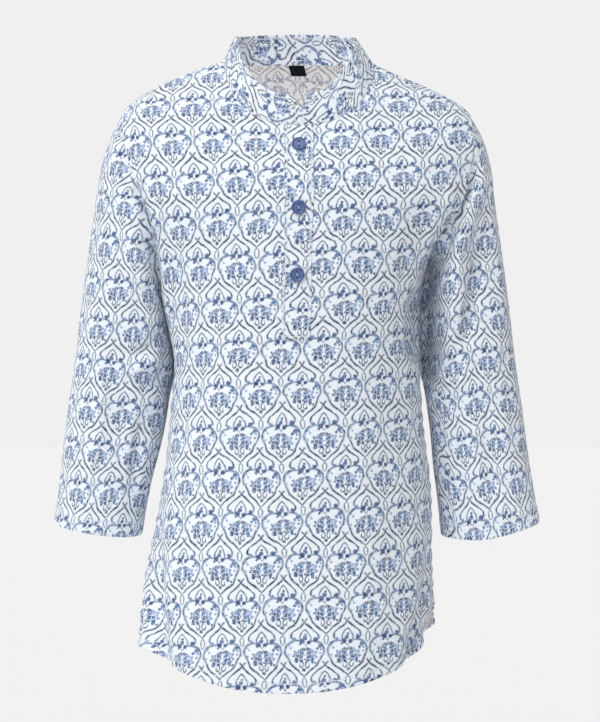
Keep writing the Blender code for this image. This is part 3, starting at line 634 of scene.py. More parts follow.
    halo = add(tree, "Math SUBTRACT", lines, 0.75)

    # The leaves: dark on the left of a heart and lilac on the right, each with ragged lobes.
    r, angle = polar(LEAF_X, LEAF_Y)
    share = add(tree, "MapRange", angle, -np.pi, np.pi)
    reach = []
    for leaf in (DARK_LEAF, PALE_LEAF):
        turned = [(((a + 180) % 360) / 360, d / 8) for a, d in leaf[:-1]]
        first = min(turned)
        turned += [(0.0, first[1]), (1.0, first[1])] if first[0] > 0 else [(1.0, first[1])]
        reach.append(add(tree, "FloatCurve", 1.0, share, curve=turned))
    reach = add(tree, "Mix", right, *reach, data_type="FLOAT")
    leaf = add(tree, "Math MULTIPLY_ADD", reach, -8.0, r)
    fan = add(tree, "CombineXYZ", aside, y)
    fan = add(tree, "VectorRotate", fan, (0.0, 0.0, 0.0), (0.0, 0.0, 1.0), np.radians(FAN_LEAN))
    fan = add(tree, "VectorMath MULTIPLY", fan, (1 / FAN[0], 1 / FAN[1], 1.0))
    split = add(tree, "TexVoronoi", fan, 1.0, 0.85, voronoi_dimensions="2D", feature="DISTANCE_TO_EDGE")
    leaflet = add(tree, "TexVoronoi", fan, 1.0, 0.85, voronoi_dimensions="2D").node.outputs["Color"]
    leaflet = add(tree, "SeparateXYZ", leaflet)
    split = add(tree, "Math SUBTRACT", 0.06, split)
    split = add(tree, "Math MULTIPLY", split, 4.0)
    leaf = add(tree, "Math MAXIMUM", leaf, split)

    # Brush marks: uneven ink, broken edges, and patches where it took badly.
    wash = add(tree, "TexNoise", flat, 0.35, 3.0)
    grain = add(tree, "TexNoise", flat, 1.3, 2.0)
    ragged = add(tree, "Math MULTIPLY_ADD", grain, 1.1, -0.55)
    thin = add(tree, "MapRange", wash, 0.35, 0.6, 0.8, 1.0)
    tone = add(tree, "Mix", 0.6, grain, leaflet, data_type="FLOAT")
    dark = add(tree, "ValToRGB", tone, stops=[(0.5, LEAF_DARK), (0.95, LEAF_MID)])
    pale = add(tree, "ValToRGB", tone, stops=[(0.3, LEAF_DARK), (0.5, LEAF_MID), (0.7, LEAF_LILAC)])
    far = add(tree, "Math GREATER_THAN", x, LEAF_X)
    leaves = add(tree, "Mix", far, dark, pale, data_type="RGBA")
    petals = add(tree, "Mix", right, pale, dark, data_type="RGBA")
    lobes = add(tree, "Math SUBTRACT", y, 5.0)
    lobes = add(tree, "Math ABSOLUTE", lobes)
    lobes = add(tree, "MapRange", lobes, 6.5, 11.5, -0.12, 0.12)
    lobes = add(tree, "Math ADD", wash, lobes)
    strokes = add(tree, "ValToRGB", lobes, stops=[(0.36, LINE_PALE), (0.64, LINE_DARK), (0.5, LINE_MID)])
    print_colour = colour(ground)
    ink_all = None
    for shape, rough, strength, hue in (
        (halo, 1.2, 0.34, colour(LINE_PALE)), (lines, 0.8, 1.0, strokes), (leaf, 1.6, 0.97, leaves),
        (spots(SPRAYS), 1.6, 0.9, strokes), (spots(BLOSSOMS), 1.9, 0.95, petals),
        (spots(BUD_SPOTS), 1.9, 0.97, dark),
    ):
        edge = add(tree, "Math MULTIPLY_ADD", ragged, rough, shape)
        ink = add(tree, "MapRange", edge, 0.27, -0.19, 0.0, strength, interpolation_type="SMOOTHSTEP")
        ink = add(tree, "Math MULTIPLY", ink, thin)
        print_colour = add(tree, "Mix", ink, print_colour, hue, data_type="RGBA")
        ink_all = ink if ink_all is None else add(tree, "Math MAXIMUM", ink_all, ink)
    if faded:
        print_colour = add(tree, "Mix", faded, print_colour, colour(ground), data_type="RGBA")

    # The weave, its uneven yarns and the cloth's fine crumple, as one height.
    yarns = add(tree, "VectorMath SCALE", flat, 2 * np.pi / YARNS_DRAWN)
    yarns = add(tree, "VectorMath SINE", yarns)
    yarns = add(tree, "SeparateXYZ", yarns).node.outputs
    weave = add(tree, "Math MULTIPLY", yarns["X"], yarns["Y"])
    slub = add(tree, "VectorMath MULTIPLY", flat, (0.16, 1.9, 1.0))
    slub = add(tree, "TexNoise", slub, 1.0, 2.0)
    crumple = add(tree, "TexNoise", flat, 0.075, 3.0)
    height = add(tree, "Math MULTIPLY_ADD", weave, 0.10, slub)
    height = add(tree, "Math MULTIPLY_ADD", crumple, 3.2, height)
    shade = add(tree, "MapRange", slub, 0.3, 0.7, 0.0, 0.07)
    print_colour = add(tree, "Mix", shade, print_colour, colour(SLUB_SHADE), data_type="RGBA")
    if stitched:
        # A row of stitches 2.6 mm long, each sunk a little into the cloth at its ends.
        edge = add(tree, "UVMap", uv_map="Edge")
        edge = add(tree, "VectorMath SCALE", edge, 1000.0)
        edge = add(tree, "SeparateXYZ", edge).node.outputs
        apart = add(tree, "Math SUBTRACT", edge["Y"], stitched)
        apart = add(tree, "Math ABSOLUTE", apart)
        step = add(tree, "Math WRAP", edge["X"], STITCH_HALF, -STITCH_HALF)
        step = add(tree, "Math ABSOLUTE", step)
        step = add(tree, "MapRange", step, 1.15, 0.85)
        thread = add(tree, "MapRange", apart, 0.42, 0.22)
        thread = add(tree, "Math MULTIPLY", thread, step)
        sunk = add(tree, "MapRange", apart, 1.1, 0.2)
        height = add(tree, "Math MULTIPLY_ADD", sunk, -1.1, height)
        height = add(tree, "Math MULTIPLY_ADD", thread, 1.3, height)
        # Painted shade: the cloth is darkened in the groove where the stitches sink in.
        shadow = add(tree, "Math MULTIPLY", sunk, 0.22)
        print_colour = add(tree, "Mix", shadow, print_colour, colour(STITCH_SHADE), data_type="RGBA")
        print_colour = add(tree, "Mix", thread, print_colour, colour(STITCH_PALE), data_type="RGBA")
    bump = add(tree, "Bump", 0.55, 0.0004, None, height)
    rough = add(tree, "MapRange", ink_all, 0.0, 1.0, 0.93, 0.84)
    finish_with(tree, shader, {"Base Color": print_colour, "Roughness": rough, "Normal": bump,
                               "Sheen Weight": 0.12, "Sheen Roughness": 0.6,
                               "Specular IOR Level": 0.25})
    return made


def settle(points):
    """Where a point comes to rest as the garment hangs unevenly: the left shoulder a little higher,
    the right one lower, the left sleeve further out, the right cuff and the collar's edge longer.
    Each is a smooth step of the point's X and Z."""
    x, z = points[..., 0], points[..., 2]
    high = ease(-95, -35, z)
    up = 3.0 * high * ease(35, 80, -x) - 1.9 * high * ease(40, 80, x) * (1 - ease(110, 140, x))
    up = up + 1.2 * ease(14, 28, z)
    up = up - 3.2 * ease(330, 366, -z) * np.exp(-(((x - 150) / 26) ** 2))
    out = -2.3 * ease(120, 155, -x) * ease(50, 110, -z) * (1 - ease(290, 350, -z))
    return points + np.stack([out, 0 * out, up], -1)


def put(name, data):
    """A new object in the scene, at the origin and unturned."""
    made = bpy.data.objects.new(name, data)
    bpy.context.scene.collection.objects.link(made)
    return made


def cloth_wall(name, points, offset, thick, flat, edge, cloths, outward, ring=False):
    """A closed wall about a grid of points: its outer face half its thickness out along the
    offset, its inner face half in, and its cut edges. A ring's last column joins its first, so
    its flat places have one column more. cloths are the right side's and the wrong side's."""
    rows, columns = points.shape[:2]
    half = offset * thick[..., None] / 2
    vertices = np.concatenate([(points + half).reshape(-1, 3), (points - half).reshape(-1, 3)])
    vertices = settle(vertices) * MM
    wide = flat.shape[1]
    index = np.arange(rows * wide).reshape(rows, wide)

    def quads(*corners):
        """Four corners, each a grid of places and whether they are on the inner face."""
        return np.stack([np.where(inner, place + rows * wide, place) for place, inner in corners],
                        -1).reshape(-1, 4)

    a, b, c, d = index[:-1, :-1], index[:-1, 1:], index[1:, 1:], index[1:, :-1]
    faces = [quads((a, 0), (b, 0), (c, 0), (d, 0)), quads((a, 1), (d, 1), (c, 1), (b, 1)),
             quads((b[0], 0), (a[0], 0), (a[0], 1), (b[0], 1)),
             quads((d[-1], 0), (c[-1], 0), (c[-1], 1), (d[-1], 1))]
    if not ring:
        faces.append(quads((a[:, 0], 0), (d[:, 0], 0), (d[:, 0], 1), (a[:, 0], 1)))
        faces.append(quads((c[:, -1], 0), (b[:, -1], 0), (b[:, -1], 1), (c[:, -1], 1)))
    sides = np.concatenate([np.full(len(f), i == 1) for i, f in enumerate(faces)])
    corners = np.concatenate(faces)
    if outward < 0:
        corners = corners[:, ::-1]
    inner, place = corners // (rows * wide), corners % (rows * wide)
    vertex = inner * rows * columns + place // wide * columns + place % wide % columns
    mesh = bpy.data.meshes.new(name)
    mesh.vertices.add(len(vertices))
    mesh.vertices.foreach_set("co", vertices.ravel())
    mesh.loops.add(vertex.size)
    mesh.loops.foreach_set("vertex_index", vertex.ravel())
    mesh.polygons.add(len(vertex))
    mesh.polygons.foreach_set("loop_start", np.arange(0, vertex.size, 4))
    mesh.polygons.foreach_set("material_index", sides.astype(np.int32))
    for layer, places in (("Cloth", flat), ("Edge", edge)):
        uv = mesh.uv_layers.new(name=layer)
        uv.uv.foreach_set("vector", (places.reshape(-1, 2)[place.ravel()] * MM).ravel())
    mesh.update(calc_edges=True)
    mesh.validate()
    for cloth in cloths:
        mesh.materials.append(cloth)
    mesh.shade_smooth()
    mesh.set_sharp_from_angle(angle=np.radians(55))
    return put(name, mesh)


def hemmed(from_edge, turn):
    """A wall's thickness by how far in from a turned hem of that width: the cloth's, up to the
    hem's over a short step, and less at the fold itself, which is the last row."""
    thick = CLOTH_WALL + (HEM_WALL - CLOTH_WALL) * (1 - ease(turn - HEM_STEP, turn, from_edge))
    thick[-1] *= HEM_FOLD
    return thick


OUT_OF_REACH = 1e3


def edge_distances(flat, points):
    """Along and in from the nearest finished edge of a panel: its hem, which is its last row, or
    its vents, which are its first and last columns below the vents' tops."""
    up = run(points[::-1])[::-1]
    across = np.minimum(np.abs(flat[..., 0] - flat[:, :1, 0]), np.abs(flat[..., 0] - flat[:, -1:, 0]))
    across = across + np.where(points[..., 2] < VENT_TOP_Z - 4, 0, OUT_OF_REACH)
    return np.stack([np.where(up < across, flat[..., 0], flat[..., 1]), np.minimum(up, across)], -1)


HEM_STITCHED = 7.5
WRONG_FADED = 0.36
cotton = printed_cotton("printed cotton voile", COTTON_WHITE, stitched=HEM_STITCHED)
cotton_inside = printed_cotton("printed cotton voile, wrong side", COTTON_WRONG, WRONG_FADED,
                               HEM_STITCHED)
panel_down = np.linspace(0, 1, TOP_ROWS + 1)
panel_levels = np.concatenate([
    CHEST_Z - ARMHOLE_HALF * np.sin(np.pi / 2 * np.arange(1, ARMHOLE_ROWS + 1) / ARMHOLE_ROWS),
    np.linspace(UNDERARM_Z, VENT_TOP_Z, 101)[1:]])
panel_hem = np.concatenate([np.linspace(0, 1, 42)[1:-1], [0.994, 1.0]])
surfaces = {panel: panel_surface(panel, panel_shares(panel), panel_down, panel_levels, panel_hem)
            for panel in PANELS}


def neck_ring(front, back):
    """One value a column from both panels' top rows, round from the centre front by the right."""
    middle, n = front.shape[1] // 2, NECK_COLUMNS
    right = (front[0, middle + n] + back[0, middle + n]) / 2
    left = (front[0, middle - n] + back[0, middle - n]) / 2
    return np.concatenate([
        front[0, middle:middle + n], [right], back[0, middle + n - 1:middle - n:-1], [left],
        front[0, middle - n + 1:middle + 1],
    ])


neckline = neck_ring(surfaces["front"][0], surfaces["back"][0])
neck_normal = unit(neck_ring(surfaces["front"][1], surfaces["back"][1]))
neck_along = np.gradient(neckline, axis=0)
neck_along[[0, -1]] = np.array([1.0, 0, 0])
neck_along = unit(neck_along)

# How far the print is moved on each panel's cloth. Its rows rise by RISE to the right, and its
# columns lean by LEAN away from the level LEAN_FROM. The cut is width, length and area.
PANEL_PRINT = {"front": (-3.4, -124.3), "back": (-7.0, -109.0)}
RISE, LEAN, LEAN_FROM = 0.047, 0.035, 180.0
PANEL_CUT = {"front": (0.31, 0.518, 0.137), "back": (0.304, 0.518, 0.137)}
for panel, (points, normal, flat) in surfaces.items():
    edge = edge_distances(flat, points)
    u, v = flat[..., 0], flat[..., 1]
    flat = np.stack([u - LEAN * (v - LEAN_FROM), v + RISE * u], -1) + PANEL_PRINT[panel]
    made = cloth_wall(panel + "_cloth", points, normal, hemmed(edge[..., 1], HEM_TURN), flat, edge,
                      (cotton, cotton_inside), PANELS[panel]["facing"])
    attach(made, "root")
    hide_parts(panel + "_panel")
    width, length, area = PANEL_CUT[panel]


# ==== The collar band ==========================================================================
# A short stand of the same cloth, two layers about a light stiffening, cut on the cross grain so
# that the print lies on its side. Its ends meet at the centre front in a small open notch, and it
# is seamed to the neckline all round.

COLLAR_WALL = 1.7
COLLAR_X = -1.0
COLLAR_HALF = 47.0
COLLAR_ROUNDNESS = 2.6
COLLAR_SIDE_Z = 26.5
COLLAR_DIP = 1.9
NOTCH_X = 3.4
NOTCH_HALF = 6.5
NOTCH_START = 0.42
COLLAR_STITCHED = 3.2
COLLAR_PRINT = (9.0, 6.0)


def collar_surface(low, heights):
    """The band's grid, from its top edge down to the neckline: each row is part of the way from
    the neckline up to the top edge, which is a superellipse seen from above, raised at the sides
    and dipped at the front and back by a power of how far round it is."""
    columns = len(low)
    sign = np.where(np.arange(columns) < columns // 2, 1.0, -1.0)
    back = (np.arange(columns) > NECK_COLUMNS) & (np.arange(columns) < columns - 1 - NECK_COLUMNS)
    along = np.abs(low[:, 0] - NECK_X) / NECK_HALF
    along[[0, -1]] = 0
    centre = COLLAR_X + (NOTCH_X - COLLAR_X) * (1 - along) * ~back
    rows = []
    for height in heights:
        spread = NOTCH_HALF * max(0, (height - NOTCH_START) / (1 - NOTCH_START)) ** 1.4 + SEAM_GAP / 2
        spread = spread * ~back
        x = centre + sign * (spread + (COLLAR_HALF - spread) * along)
        fall = neck_fall((x - COLLAR_X) / COLLAR_HALF, COLLAR_ROUNDNESS)
        y_far = np.where(back, PANELS["back"]["collar_y"], PANELS["front"]["collar_y"])
        z_far = np.where(back, PANELS["back"]["collar_z"], PANELS["front"]["collar_z"])
        y = NECK_Y + (y_far - NECK_Y) * fall
        z = COLLAR_SIDE_Z + (z_far - COLLAR_SIDE_Z) * fall ** COLLAR_DIP
        start = low.copy()
        start[:, 0] += sign * spread * (1 - along) ** 2
        rows.append(start + (np.stack([x, y, z], -1) - start) * height)
    return np.stack(rows)


collar_heights = np.concatenate([[1.0, 0.99, 0.97, 0.94], np.linspace(0.9, 0.0, 22)])
band = collar_surface(neckline, collar_heights)
band_normal = normals_of(band, -1)
band_normal[:, [0, -1], 0] = 0
band_normal = unit(band_normal)
mitre = band_normal[-1] + neck_normal
mitre = unit(mitre - neck_along * np.sum(mitre * neck_along, -1, keepdims=True))
lift = unit(np.cross(mitre, neck_along))
lift *= np.sign(np.sum(lift * (band[0] - band[-1]), -1, keepdims=True))
band = collar_surface(neckline + lift * NECK_GAP, collar_heights)
band_offset = band_normal.copy()
band_offset[-1] = mitre / np.sum(mitre * band_normal[-1], -1, keepdims=True)

# The band swells a little between its seams, and ripples where the stiffening gives.
swell = 0.5 * np.sin(np.pi * collar_heights)[:, None] * np.ones(len(neckline))
turned = np.linspace(0, 2 * np.pi, len(neckline))
swell = swell + 0.35 * np.sin(7 * turned + 0.8) * np.sin(np.pi * collar_heights[:, None]) ** 0.5
band = band + band_normal * swell[..., None]
band_width, band_length = flat_lengths(band, np.zeros_like(band[:, :-1]))
band_flat = np.stack([band_length + COLLAR_PRINT[0], band_width[12] + COLLAR_PRINT[1] + 0 * band_width], -1)
ends = np.minimum(np.abs(band_width - band_width[:, :1]), np.abs(band_width - band_width[:, -1:]))
band_edge = np.minimum(np.minimum(band_length, band_length[-1] - band_length + 100), ends)
# Its top edge is rounded off over the last tenth of its height.
rounding = np.interp(collar_heights, (0.9, 0.94, 0.97, 0.99, 1.0), (1, 0.96, 0.84, 0.62, 0.35))
band_thick = COLLAR_WALL * rounding
band_thick = band_thick[:, None] * np.ones(len(neckline))
collar_cotton = printed_cotton("printed cotton voile, stiffened", COTTON_WHITE, stitched=COLLAR_STITCHED)
collar = cloth_wall("collar_cloth", band, band_offset, band_thick, band_flat,
                    np.stack([band_width, band_edge], -1), (collar_cotton, collar_cotton), -1)
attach(collar, "root")
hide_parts("collar_band")

# ==== The sleeves ==============================================================================
# Two long set-in sleeves of the same cloth, each a tube with one underarm seam, cut on the
# straight grain along the arm. Each is eased into its armhole under the body's seam allowance,
# and its cuff is a narrow turned hem, topstitched.

# The sections, from the armhole (t = 0) to the cuff (t = 1). outer is the outside line and inner_z
# the height of the inside line, which hangs clear of the body's side by the gaps.
SLEEVE = (
    ("t", "outer_x", "outer_z", "inner_z", "gap_left", "gap_right", "depth", "set_back"),
    (0.00, 138.0, -34.0, -178.0, 1.6, 1.6, 35.0, 0.0),
    (0.08, 148.5, -52.0, -184.0, 1.9, 1.9, 36.0, 1.0),
    (0.18, 155.5, -76.0, -192.0, 2.0, 2.0, 37.0, 3.0),
    (0.30, 158.5, -103.0, -203.0, 2.0, 2.0, 37.5, 6.0),
    (0.42, 163.5, -138.0, -218.0, 2.0, 2.0, 36.5, 9.0),
    (0.54, 169.5, -181.0, -236.0, 2.2, 2.2, 35.0, 11.0),
    (0.66, 175.0, -228.0, -257.0, 4.6, 4.2, 33.0, 12.0),
    (0.78, 181.0, -270.0, -284.0, 4.8, 6.0, 31.0, 12.0),
    (0.90, 187.5, -318.0, -327.0, 10.2, 5.0, 29.0, 11.0),
    (1.00, 194.5, -359.0, -369.0, 11.6, 8.4, 27.0, 9.0),
)
SLEEVE_ROUNDNESS = 2.1
CUFF_SLANT = 0.2
HEAD_BLEND = 0.34
SLEEVE_ROWS = 150
SLEEVE_HEM = 12.5
SLEEVE_STITCHED = 11.0
SLEEVE_CUT = (0.28, 0.34, 0.069)
SLEEVE_PRINT = {"left": (8.6, 3.4), "right": (-13.7, 10.7)}
# The cloth is fuller than the drawn surface by SLEEVE_EASE, across and along, in gathers too fine
# to draw. HEAD_EASE is how much of the head's extra width behind is eased in, and BACK_SHARE how
# deep the creases of the front are at the back.
SLEEVE_EASE = (1.18, 1.02)
HEAD_EASE = 0.6
BACK_SHARE = 0.5

# Broad folds of the sleeves. turn is the angle round the sleeve from its outside line, forward:
# 90 is the front and 180 the underside.
SLEEVE_FOLDS = (
    ("sleeve", "turn", "turn_end", "t_start", "t_end", "width", "height"),
    ("left", 128.0, 150.0, 0.02, 0.22, 26.0, -7.0),
    ("left", 96.0, 118.0, 0.10, 0.50, 22.0, 3.0),
    ("right", 100.0, 150.0, 0.02, 0.26, 26.0, -7.0),
    ("right", 60.0, 84.0, 0.20, 0.62, 18.0, -3.5),
    ("left", 262.0, 240.0, 0.06, 0.42, 26.0, -4.0),
    ("right", 262.0, 240.0, 0.06, 0.42, 26.0, -4.0),
    ("left", 60.0, 56.0, 0.30, 0.98, 15.0, 1.4),
    ("left", 84.0, 92.0, 0.46, 0.99, 10.0, -1.6),
    ("left", 30.0, 24.0, 0.10, 0.60, 16.0, -1.2),
    ("right", 104.0, 112.0, 0.26, 0.70, 12.0, 2.4),
    ("right", 36.0, 30.0, 0.14, 0.80, 12.0, 1.6),
    ("right", 84.0, 70.0, 0.52, 0.99, 11.0, -1.5),
    ("left", 215.0, 225.0, 0.10, 0.55, 14.0, 2.0),
    ("right", 210.0, 226.0, 0.10, 0.55, 14.0, 2.0),
    ("left", 200.0, 200.0, 0.30, 0.80, 15.0, 4.2),
    ("right", 200.0, 200.0, 0.12, 0.66, 15.0, 4.4),
    ("left", 290.0, 282.0, 0.40, 0.98, 14.0, -1.6),
    ("right", 300.0, 288.0, 0.36, 0.98, 14.0, -1.8),
)

# Creases of the sleeves' fronts, as height, width and line in X and Z: beside the armhole seam,
# down from it, and across the inside of the elbow. The backs have the same ones, less deep.
SLEEVE_CREASES = {
    "left": (
        (-8.0, 4.4, ((-130, -88), (-122, -104), (-113, -122), (-107, -140), (-105.5, -156), (-105, -174))),
        (-2.5, 5.5, ((-106, -188), (-104, -214), (-103, -228), (-104, -248), (-107, -264))),
        (2.2, 5.0, ((-136, -108), (-128, -136), (-124, -164), (-121, -190))),
        (-3.0, 5.0, ((-106, -204), (-114, -218), (-126, -226), (-138, -228))),
        (2.2, 4.5, ((-108, -224), (-118, -234), (-132, -240), (-144, -240))),
        (-2.4, 4.5, ((-106, -240), (-115, -250), (-126, -256))),
        (-1.8, 5.0, ((-148, -70), (-146, -96), (-140, -124), (-136, -150))),
        (1.4, 6.0, ((-150, -230), (-154, -280), (-160, -330))),
        (-1.4, 6.0, ((-136, -250), (-138, -300), (-142, -350))),
        (-4.0, 5.0, ((-121, -270), (-126, -305), (-131, -345))),
    ),
    "right": (
        (-8.0, 4.6, ((149, -58), (145, -72), (141, -86), (135, -99), (123, -115), (113, -132), (107, -150),
                     (104, -168), (102, -186))),
        (3.0, 5.0, ((142, -100), (134, -118), (129, -140), (130, -168), (125, -214))),
        (-6.0, 5.0, ((151, -112), (146, -136), (143, -160), (139, -184), (136, -206), (133, -230))),
        (-7.0, 4.0, ((124, -104), (118, -116), (111, -130), (106, -145), (103, -160))),
        (-2.2, 5.0, ((106, -214), (116, -228), (130, -238))),
        (1.8, 5.0, ((108, -236), (120, -246), (136, -252))),
        (2.0, 6.0, ((162, -150), (160, -190), (162, -240))),
        (-1.6, 6.0, ((150, -250), (154, -300), (160, -350))),
        (1.4, 6.0, ((136, -270), (140, -320), (144, -350))),
    ),
}


# The deep hollow between each sleeve and the body: how far across it lies, half its width, where
# it starts and ends, and how far back it goes.
SLEEVE_HOLLOW = {"left": (-105.0, 6.0, 116.0, 200.0, 10.0), "right": (104.5, 8.5, 134.0, 264.0, 32.0)}


def sleeve_ring(side, t, turn):
    """The sleeve's own tube: at each t a superellipse between its outside and inside lines, set
    back from the shoulder line and slanted towards the cuff."""
    sign = -1 if side == "left" else 1
    inner_z = read(SLEEVE, "inner_z", t)
    inner_x = read(SIDE, side, inner_z) + read(SLEEVE, "gap_" + side, t)
    outer_x, outer_z = read(SLEEVE, "outer_x", t), read(SLEEVE, "outer_z", t)
    depth = read(SLEEVE, "depth", t)
    across = np.sign(np.cos(turn)) * rounded(np.abs(np.cos(turn)), SLEEVE_ROUNDNESS)
    forward = np.sign(np.sin(turn)) * rounded(np.abs(np.sin(turn)), SLEEVE_ROUNDNESS)
    x = (outer_x + inner_x) / 2 + across * (outer_x - inner_x) / 2
    y = read(SLEEVE, "set_back", t) - forward * depth
    z = (outer_z + inner_z) / 2 + across * (outer_z - inner_z) / 2
    z = z - forward * depth * CUFF_SLANT * ease(0.55, 1.0, t)
    return np.stack([sign * x, y, z], -1)


def sleeve_fold(side, t, turn):
    """The sum of the table's folds: each a Gaussian round the sleeve times half a sine along it."""
    total = np.zeros_like(t * turn)
    for owner, start, end, t_start, t_end, width, height in SLEEVE_FOLDS[1:]:
        if owner != side:
            continue
        along = np.clip((t - t_start) / (t_end - t_start), 0, 1)
        line = np.radians(start + (end - start) * along)
        total = total + height * np.sin(np.pi * along) * np.exp(-(((turn - line) / np.radians(width)) ** 2))
    return total


def armhole_line(side):
    """The armhole round from the shoulder, down the front and up the back, from both panels'
    edges, just under their cloth and a millimetre in from their edge."""
    column, next_in = (0, 1) if side == "left" else (-1, -2)
    last = TOP_ROWS + ARMHOLE_ROWS + 1
    lines = []
    for panel in ("front", "back"):
        points, normal, _ = surfaces[panel]
        inward = unit(points[:, next_in] - points[:, column])
        lines.append((points[:, column] + inward * 1.0 - normal[:, column] * CLOTH_WALL * 1.2)[:last])
    top = (lines[0][0] + lines[1][0]) / 2
    under = (lines[0][-1] + lines[1][-1]) / 2
    return np.concatenate([[top], lines[0][1:-1], [under], lines[1][-2:0:-1]])


sleeve_cotton = printed_cotton("printed cotton voile, sleeve", COTTON_WHITE, stitched=SLEEVE_STITCHED)
sleeve_inside = printed_cotton("printed cotton voile, sleeve, wrong side", COTTON_WRONG, WRONG_FADED,
                               SLEEVE_STITCHED)
for side in ("left", "right"):
    armhole = armhole_line(side)
    count = len(armhole)
    turn = (2 * np.pi * np.arange(count) / count)[None, :]
    t = np.concatenate([np.linspace(0, 1, SLEEVE_ROWS), [1.0]])[:, None]
    t[-2] = 0.998
    outward = -1 if side == "left" else 1
    own = sleeve_ring(side, t, turn)
    own = own + normals_of(own, outward, ring=True) * sleeve_fold(side, t, turn)[..., None]
    leave = (1 - ease(0, HEAD_BLEND, t))[..., None]
    points = own + leave * (armhole[None] - own[:1])
    normal = normals_of(points, outward, ring=True)

    # Creases before and behind, easing puckers below the armhole seam, and the seam's own groove.
    facing_out = ease(0.0, 0.45, -normal[..., 1]) + BACK_SHARE * ease(0.0, 0.45, normal[..., 1])
    from_seam = run(points)
    fold = creases(points, SLEEVE_CREASES[side]) * facing_out * ease(0, 5, from_seam)
    fold += 0.45 * np.sin(count / 7.0 * turn) * np.exp(-((from_seam - 5) / 5) ** 2) * (np.cos(turn) > -0.3)
    fold += -0.9 * np.exp(-((from_seam - 2.5) / 2.2) ** 2)
    points = points + normal * fold[..., None]
    hollow_x, wide, top, bottom, deep = SLEEVE_HOLLOW[side]
    fall = ease(top, top + 26, -points[..., 2]) * (1 - ease(bottom - 34, bottom, -points[..., 2]))
    hollow = deep * np.exp(-(((points[..., 0] - hollow_x) / wide) ** 2)) * fall
    points[..., 1] += hollow * ease(-0.15, 0.4, np.sin(turn)) * ease(0, 8, from_seam)
    normal = normals_of(points, outward, ring=True)

    # The flat cloth: its length runs along the arm, and its width round it, from the middle of the
    # front. The columns now start at the underarm seam, where its two long edges meet.
    under = count // 2
    points, normal = np.roll(points, -under, axis=1), np.roll(normal, -under, axis=1)
    closed = np.concatenate([points, points[:, :1]], axis=1)
    reference = SLEEVE_ROWS // 3
    axis = unit(points[-1].mean(0) - points[reference].mean(0))
    width, length = flat_lengths(closed, np.broadcast_to(axis, closed[:, :-1].shape))
    length = length - length[reference] + (closed[reference] @ axis)
    front, back = count // 4 + count - under, count // 4
    width = width - width[:, front, None]
    drift = width[:, back, None] - width[reference, back]
    width = width - HEAD_EASE * drift * ease(0, 1, (front - np.arange(count + 1)) / (front - back))
    flat = (np.stack([-outward * width, length], -1) + SLEEVE_PRINT[side]) * SLEEVE_EASE
    from_cuff = length[-1] - length
    made = cloth_wall("sleeve_" + side + "_cloth", points, normal, hemmed(from_cuff[:, :-1], SLEEVE_HEM),
                      flat, np.stack([width, from_cuff], -1), (sleeve_cotton, sleeve_inside), outward,
                      ring=True)
    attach(made, "root")
    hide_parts("sleeve_" + side)
    width, length, area = SLEEVE_CUT

# ==== The placket ==============================================================================
# A straight strip of the cloth, folded and topstitched over the slash at the centre front. The
# front's print doesn't carry across it. It is made from the front's own cloth, moved out.

PLACKET_HALF = 11.5
PLACKET_BOTTOM_Z = -214.0
PLACKET_WALL = 0.9
PLACKET_EDGE = 0.4
PLACKET_STITCHED = 1.8
PLACKET_PRINT = (-5.5, -134.0)


def patch(surface, shares, across, down):
    """Part of a panel's own grid by bilinear interpolation: across are shares of its width and
    down are row numbers. It gives points, normals and flat places."""
    column = np.interp(across, shares, np.arange(len(shares)))
    parts = []
    for grid in surface:
        i = np.clip(np.floor(down).astype(int), 0, grid.shape[0] - 2)
        j = np.clip(np.floor(column).astype(int), 0, grid.shape[1] - 2)
        v = (down - i)[:, None, None]
        w = (column - j)[None, :, None]
        upper = grid[i][:, j] * (1 - w) + grid[i][:, j + 1] * w
        lower = grid[i + 1][:, j] * (1 - w) + grid[i + 1][:, j + 1] * w
        parts.append(upper * (1 - v) + lower * v)
    return parts[0], unit(parts[1]), parts[2]


front_shares = panel_shares("front")
placket_share = np.concatenate([[-1], np.linspace(-0.985, 0.985, 15), [1]])
placket_share = placket_share * PLACKET_HALF / chest_fraction("front")[False][2]
last = np.interp(-PLACKET_BOTTOM_Z, -surfaces["front"][0][:, len(front_shares) // 2, 2],
                 np.arange(len(surfaces["front"][0])))
placket_down = np.concatenate([np.linspace(0.25, last - 0.1, 110), [last]])
points, normal, flat = patch(surfaces["front"], front_shares, placket_share, placket_down)
points = points + normal * (CLOTH_WALL / 2 + PLACKET_WALL / 2 + SEAM_GAP)
width, length = flat_lengths(points, np.zeros_like(points[:, :-1]))
sides = np.minimum(width - width[:, :1], width[:, -1:] - width)
bottom = length[-1] - length
thick = np.full(points.shape[:2], PLACKET_WALL)
thick[:, [0, -1]] *= PLACKET_EDGE
thick[-1] *= PLACKET_EDGE
placket_cotton = printed_cotton("printed cotton voile, folded", COTTON_WHITE, stitched=PLACKET_STITCHED)
placket = cloth_wall("placket_cloth", points, normal, thick, flat + PLACKET_PRINT,
                     np.stack([np.where(sides < bottom, length, width), np.minimum(sides, bottom)], -1),
                     (placket_cotton, placket_cotton), -1)
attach(placket, "root")
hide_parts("placket")
placket_line = points[:, 8] + normal[:, 8] * PLACKET_WALL / 2
placket_normal = normal[:, 8]

# ==== The buttons ==============================================================================
# Three turned two-hole buttons of slate-blue polyester resin, each with a raised rim and a dished
# face, sewn on through the placket with a few strands of pale thread that cross between the holes.

BUTTON_Z = {"button_top": -62.0, "button_middle": -112.0, "button_bottom": -164.5}
BUTTON_RADIUS = 5.7
BUTTON_THICK = 2.2
BUTTON_DISH = 0.7
BUTTON_RIM = 0.6
HOLE_RADIUS = 0.85
HOLE_HALF = 1.95
HOLE_DEPTH = 1.4
THREAD_RADIUS = 0.17
